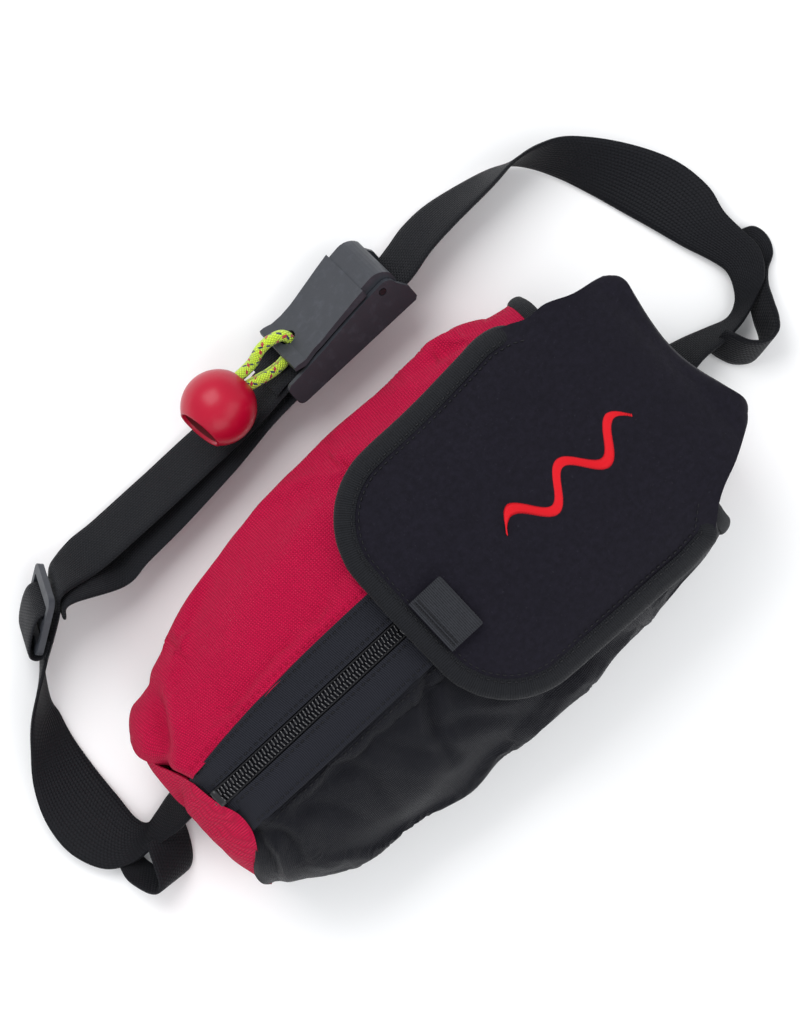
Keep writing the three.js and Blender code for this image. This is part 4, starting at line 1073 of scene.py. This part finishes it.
# The gear loops' two edges
GEAR_LOOPS = {
    "left": (
        [(-152.2, 5.4, 6), (-154, 1.5, 2.8), (-157.4, -4.4, 1.5), (-161, -8.6, 1.2), (-165.2, -10.4, 1.2),
         (-169.6, -9, 1.2), (-173, -4, 1.2), (-175.5, 3, 1.2), (-175.5, 11, 1.4)],
        [(-170, 9.4, 11.4), (-172.2, 4.6, 14), (-174.4, -1, 17), (-176.6, -6, 18.5), (-179.4, -8.6, 18.2),
         (-182.6, -6.8, 16.5), (-185.2, -1.5, 13), (-186.8, 5, 8.5), (-185, 13, 4)]),
    "right": (
        [(149, 0.5, 4), (150.4, -5, 1.5), (153.2, -11.2, 1.2), (159, -15.8, 1.2), (165, -15.4, 1.2), (169, -11, 1.2),
         (172, -4.5, 1.2), (176, 2, 1), (181, 6.8, 1), (186, 11.5, 1), (188.4, 17.5, 1.2), (186.6, 23.4, 1.4),
         (181, 25, 1.6)],
        [(160, 1.8, 15.4), (161, -2.6, 20), (163.6, -8.8, 22.6), (169, -13.2, 23), (175, -13.2, 22.6), (179.2, -9, 21),
         (182.8, -2.4, 17), (187, 4, 9), (192, 8.4, 4), (198.2, 11.6, 2.6), (201.4, 18.6, 2.6), (199.6, 26, 3),
         (191.5, 29.5, 3.4)]),
}
TAIL_SHIFT = 2.2

# The adjusting loop's two legs in the buckle's frame: x, y, z and roll in degrees from the buckle's own
UPPER_LEG = [(-112, 4.8, 3.4, 7), (-98, 5.6, 1.4, 7), (-70, 5.6, 1, 7), (-40, 4.8, 1.6, 6), (-15, 2.4, 3.1, 1)]
LOWER_LEG = [(-15, 1, -1.6, 0), (-40, 0.2, -4.6, 4), (-70, -0.4, -6.4, 7), (-92, -1.4, -6.6, 7), (-106, -3.4, -6, 6)]


def leg_edge(points, side):
    half = side * WEBBING / 2
    return in_frame(BUCKLE, [(x, y + half * math.cos(math.radians(roll)), z + half * math.sin(math.radians(roll)))
                             for x, y, z, roll in points])


def make_belt(m):
    web = m["webbing"]
    half = WEBBING / 2
    # The adjusting loop: under the tri-glide, to the buckle, round its bar and back
    bar = [(4.5 + 3.2 * math.cos(math.radians(a)), 1, 3 + 3.2 * math.sin(math.radians(a)), 0)
           for a in (90, 45, 0, -45, -90)]
    legs = UPPER_LEG + bar + LOWER_LEG
    floor_side, top_side = (
        [at_glide(s, side * half, out) for s, out in ((-17, -4.6), (-6, -5), (6, -5), (16, -4.4))]
        + leg_edge(legs, side) + [at_glide(s, side * half - 3, out) for s, out in ((14, -8), (6, -7))]
        for side in (1, -1))
    loop = ribbon("belt_buckle_loop", floor_side, top_side, 420, web, ripple=0.25)
    place(loop, "belt_loop", "webbing", "belt_adjust_loop")
    # The left strap: out of the pouch, round the turn and up on edge to the tri-glide
    left = ribbon("belt_left_strap", [*LEFT_FLOOR, floor_side[0]], [*LEFT_TOP, top_side[0]], 240, web, ripple=0.3)
    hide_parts("belt_left", "belt_root_left")
    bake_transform(left)
    # The right strap: out of the pouch, round the turn and through the buckle, where its tail ends
    tail = [(66, 3.8), (52, 3.7), (38, 3.7), (24, 4), (14, 6.2), (4.5, 8.4), (-4, 7.6)]
    low, high = (in_frame(BUCKLE, [(x, TAIL_SHIFT + side * half, z) for x, z in tail]) for side in (1, -1))
    right = ribbon("belt_right_strap", RIGHT_FLOOR + low, RIGHT_TOP + high, 380, web, ripple=0.2)
    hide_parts("belt_right", "belt_root_right", "belt_tail")
    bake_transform(right)

    # The webbing that folds over the tri-glide's outer and middle bars and down through its far slot
    over = [(-8, -3.8), (-13, -3.8), (-16.8, -2.4), (-18, 0), (-16.6, 2.6), (-12.4, 3.8), (-6.6, 4.3), (-1, 4.2),
            (3.4, 3.2), (5.6, 0.6), (6, -2.2)]
    low, high = ([at_glide(s, side * (half - 0.3), out) for s, out in over] for side in (1, -1))
    place(ribbon("tri_glide_wrap", low, high, 90, web, 1.4), "adjuster", "webbing", "belt_at_tri_glide")

    low, high = flat_strap([(-136, 2.75), (117.5, 2.75)], -4.7, 20.7)
    place(ribbon("belt_through_sleeve", low, high, 30, web), "pouch", "webbing", "belt_in_sleeve")

    # Gear loops: webbing on edge that leans over, with both ends sewn to the belt
    for label, (bottom, top_edge) in GEAR_LOOPS.items():
        loop = ribbon(f"gear_loop_{label}_webbing", bottom, top_edge, 130, web, ripple=0.15)
        place(loop, "pouch", "webbing", f"gear_loop_{label}")


def make_buckle(m):
    finish_cad(m["buckle"], 0.55, 3, "buckle_base", "buckle_lever")
    finish_cad(m["buckle"], 0.8, 3, "tri_glide")
    finish_cad(m["pin"], 0.3, 2, "buckle_pin")


# ---------------------------------------------------------------- release ball and cord

BALL_CENTRE = Vector((-20.4, 123.6, 30.4))
BALL_AXIS = Vector((-0.97, -0.12, 0.2)).normalized()
BALL_RADIUS = 16.2
BALL_SIDES = 72
BALL_LIP = 9.8
BALL_BORE = 6.3
CORD_RADIUS = 2.5


def revolved(name, profile, centre, axis, material):
    """A closed (radius, height) outline turned round an axis, as rings that close on themselves."""
    side = axis.orthogonal().normalized()
    turn = circle(BALL_SIDES)[:, None]
    ring = np.cos(turn) * np.array(side) + np.sin(turn) * np.array(axis.cross(side))
    rings = [np.array(centre + axis * height) + radius * ring for radius, height in profile]
    return loft(name, np.stack(rings), material, ends=False)


def make_release(m):
    lip, bore = BALL_LIP, BALL_BORE
    start = math.degrees(math.asin(lip / BALL_RADIUS))
    outside = [(BALL_RADIUS * math.sin(math.radians(a)), BALL_RADIUS * math.cos(math.radians(a)))
               for a in np.linspace(start + 5, 152, 44)]
    profile = [(lip - 0.9, 11.4), (lip - 0.4, 12.4), (lip + 0.4, 12.75), *outside, (bore + 0.6, -14.6), (bore, -13.6),
               (bore, -6), (bore, 0), (bore + 0.6, 0.8), (7.2, 3), (7.9, 7)]
    ball = revolved("release_ball_moulding", profile, BALL_CENTRE, BALL_AXIS, m["ball"])
    # The bore's faces get the darker painted-shade material.
    ball.data.materials.append(m["bore"])
    for face in ball.data.polygons[BALL_SIDES * (3 + len(outside)):]:
        face.material_index = 1
    place(ball, "release_pull", "ball", "release_ball")

    def along_ball(distance, sideways):
        return tuple(BALL_CENTRE + BALL_AXIS * distance + Vector((0, sideways, 0)))

    route = [along_ball(-3, 2.2), along_ball(-12, 2.3),
             *in_frame(BUCKLE, [(-3, 3.4, 18.4), (4, 4, 20.4), (10, 3.4, 20.8), (14.6, 2.4, 19.4), (16, 2, 15.8),
                                (14.6, 1.2, 12.2), (9, -1.4, 11.6), (1, -3, 13)]),
             along_ball(-12, -2.4), along_ball(-3, -2.3)]
    line = evenly(route, 150)
    long = float(distance_along(line)[-1]) * MM
    uv = uv_pairs(np.linspace(0, long / MM, 150)[:, None], circle(20) * CORD_RADIUS)
    cord = loft("release_cord_braid", tube_rings(line, CORD_RADIUS, 20), m["cord"], uv)
    place(cord, "release_pull", "cord", "release_cord")
    side = BALL_AXIS.orthogonal().normalized()
    other = BALL_AXIS.cross(side)
    turns = [tuple(BALL_CENTRE + BALL_AXIS * (4.6 + 1.1 * math.sin(3 * t)) + side * 3.3 * math.cos(2 * t)
                   + other * 3.3 * math.sin(2 * t)) for t in np.linspace(0, 2.9, 24)]
    knot = loft("release_cord_knot", tube_rings(evenly(turns, 110), 2.0, 16), m["cord"])
    place(knot, "release_pull", "cord", "cord_knot")


# ---------------------------------------------------------------- rope bag inside

def make_inner_bag(m):
    """The throw bag that the pouch holds: cloth tube, gathered neck, drawcord and grab loop."""
    xs = np.concatenate([np.linspace(-126, 84, 60), np.linspace(86, 111, 26)])[:, None]
    t = np.clip((xs - 88) / 16, 0, 1)
    k = 1 - 0.7 * t * t * (3 - 2 * t)
    angle = circle(120)
    s, c = np.sin(angle), np.cos(angle)
    before_rim = np.minimum(xs, 96)
    wide = (HALF_BLACK(before_rim) - 8.5) * k
    up = (np.minimum(CREST(before_rim), ZIP_Z + 1) - SECTION_Z - 8.5) * k
    gather = 1 + (1 - k) * 0.09 * np.cos(angle * 17)
    y = np.sign(s) * np.abs(s) ** 0.8 * wide * gather
    z = np.where(c > 0, up, 29.0 * k) * np.sign(c) * np.abs(c) ** 0.8 * gather
    outer = surface(xs, POUCH_Y + y, SECTION_Z + z)
    inner = outer.copy()
    inner[..., 1:] = MIDDLE[1:] + (outer[..., 1:] - MIDDLE[1:]) * 0.97
    inner[0, :, 0] += 2
    bag = loft("throw_bag_cloth", np.concatenate([outer, inner[::-1]]), m["red"], angle=60)
    place(bag, "pouch", "red_cloth", "throw_bag_shell")
    turn = np.linspace(0, 2 * np.pi, 90)
    ring = surface(107 + 0.8 * np.sin(3 * turn), POUCH_Y + 20.5 * np.cos(turn), SECTION_Z + 1.2 + 16.5 * np.sin(turn))
    place(loft("drawcord_braid", tube_rings(ring, 1.5, 12), m["cord"]), "pouch", "cord", "drawcord")
    i = np.arange(0, 520, 2)
    layer = 1 + 0.18 * np.sin(i * 0.73)
    coil = surface(-104 + 186 * (i / 519), POUCH_Y + 50 * layer * np.cos(i * 0.29) * 0.88,
                   SECTION_Z + 1 + 23 * np.sin(i * 0.29) * 0.9)
    place(loft("rope_stuffed", tube_rings(evenly(coil, 900), 3.1, 8), m["rope"]), "pouch", "rope", "rope_pack")
    finish_cad(m["foam"], 1.5, 3, "foam_float")
    finish_cad(m["buckle"], 0.8, 3, "cord_lock", "cord_lock_plunger")
    path = [(111.5, 38), (111.8, 50), (114, 55.5), (117, 52), (116.8, 44), (115, 38)]
    low, high = flat_strap(path, POUCH_Y - WEBBING / 2, POUCH_Y + WEBBING / 2)
    place(ribbon("grab_loop_webbing", low, high, 60, m["webbing"]), "pouch", "webbing", "grab_loop")


# ---------------------------------------------------------------- all together

materials = make_materials()
set_stage()
for make in (make_side_panels, make_end_panel, make_back, make_rim, make_zip, make_flap, make_flap_details,
             make_belt, make_buckle, make_release, make_inner_bag):
    make(materials)
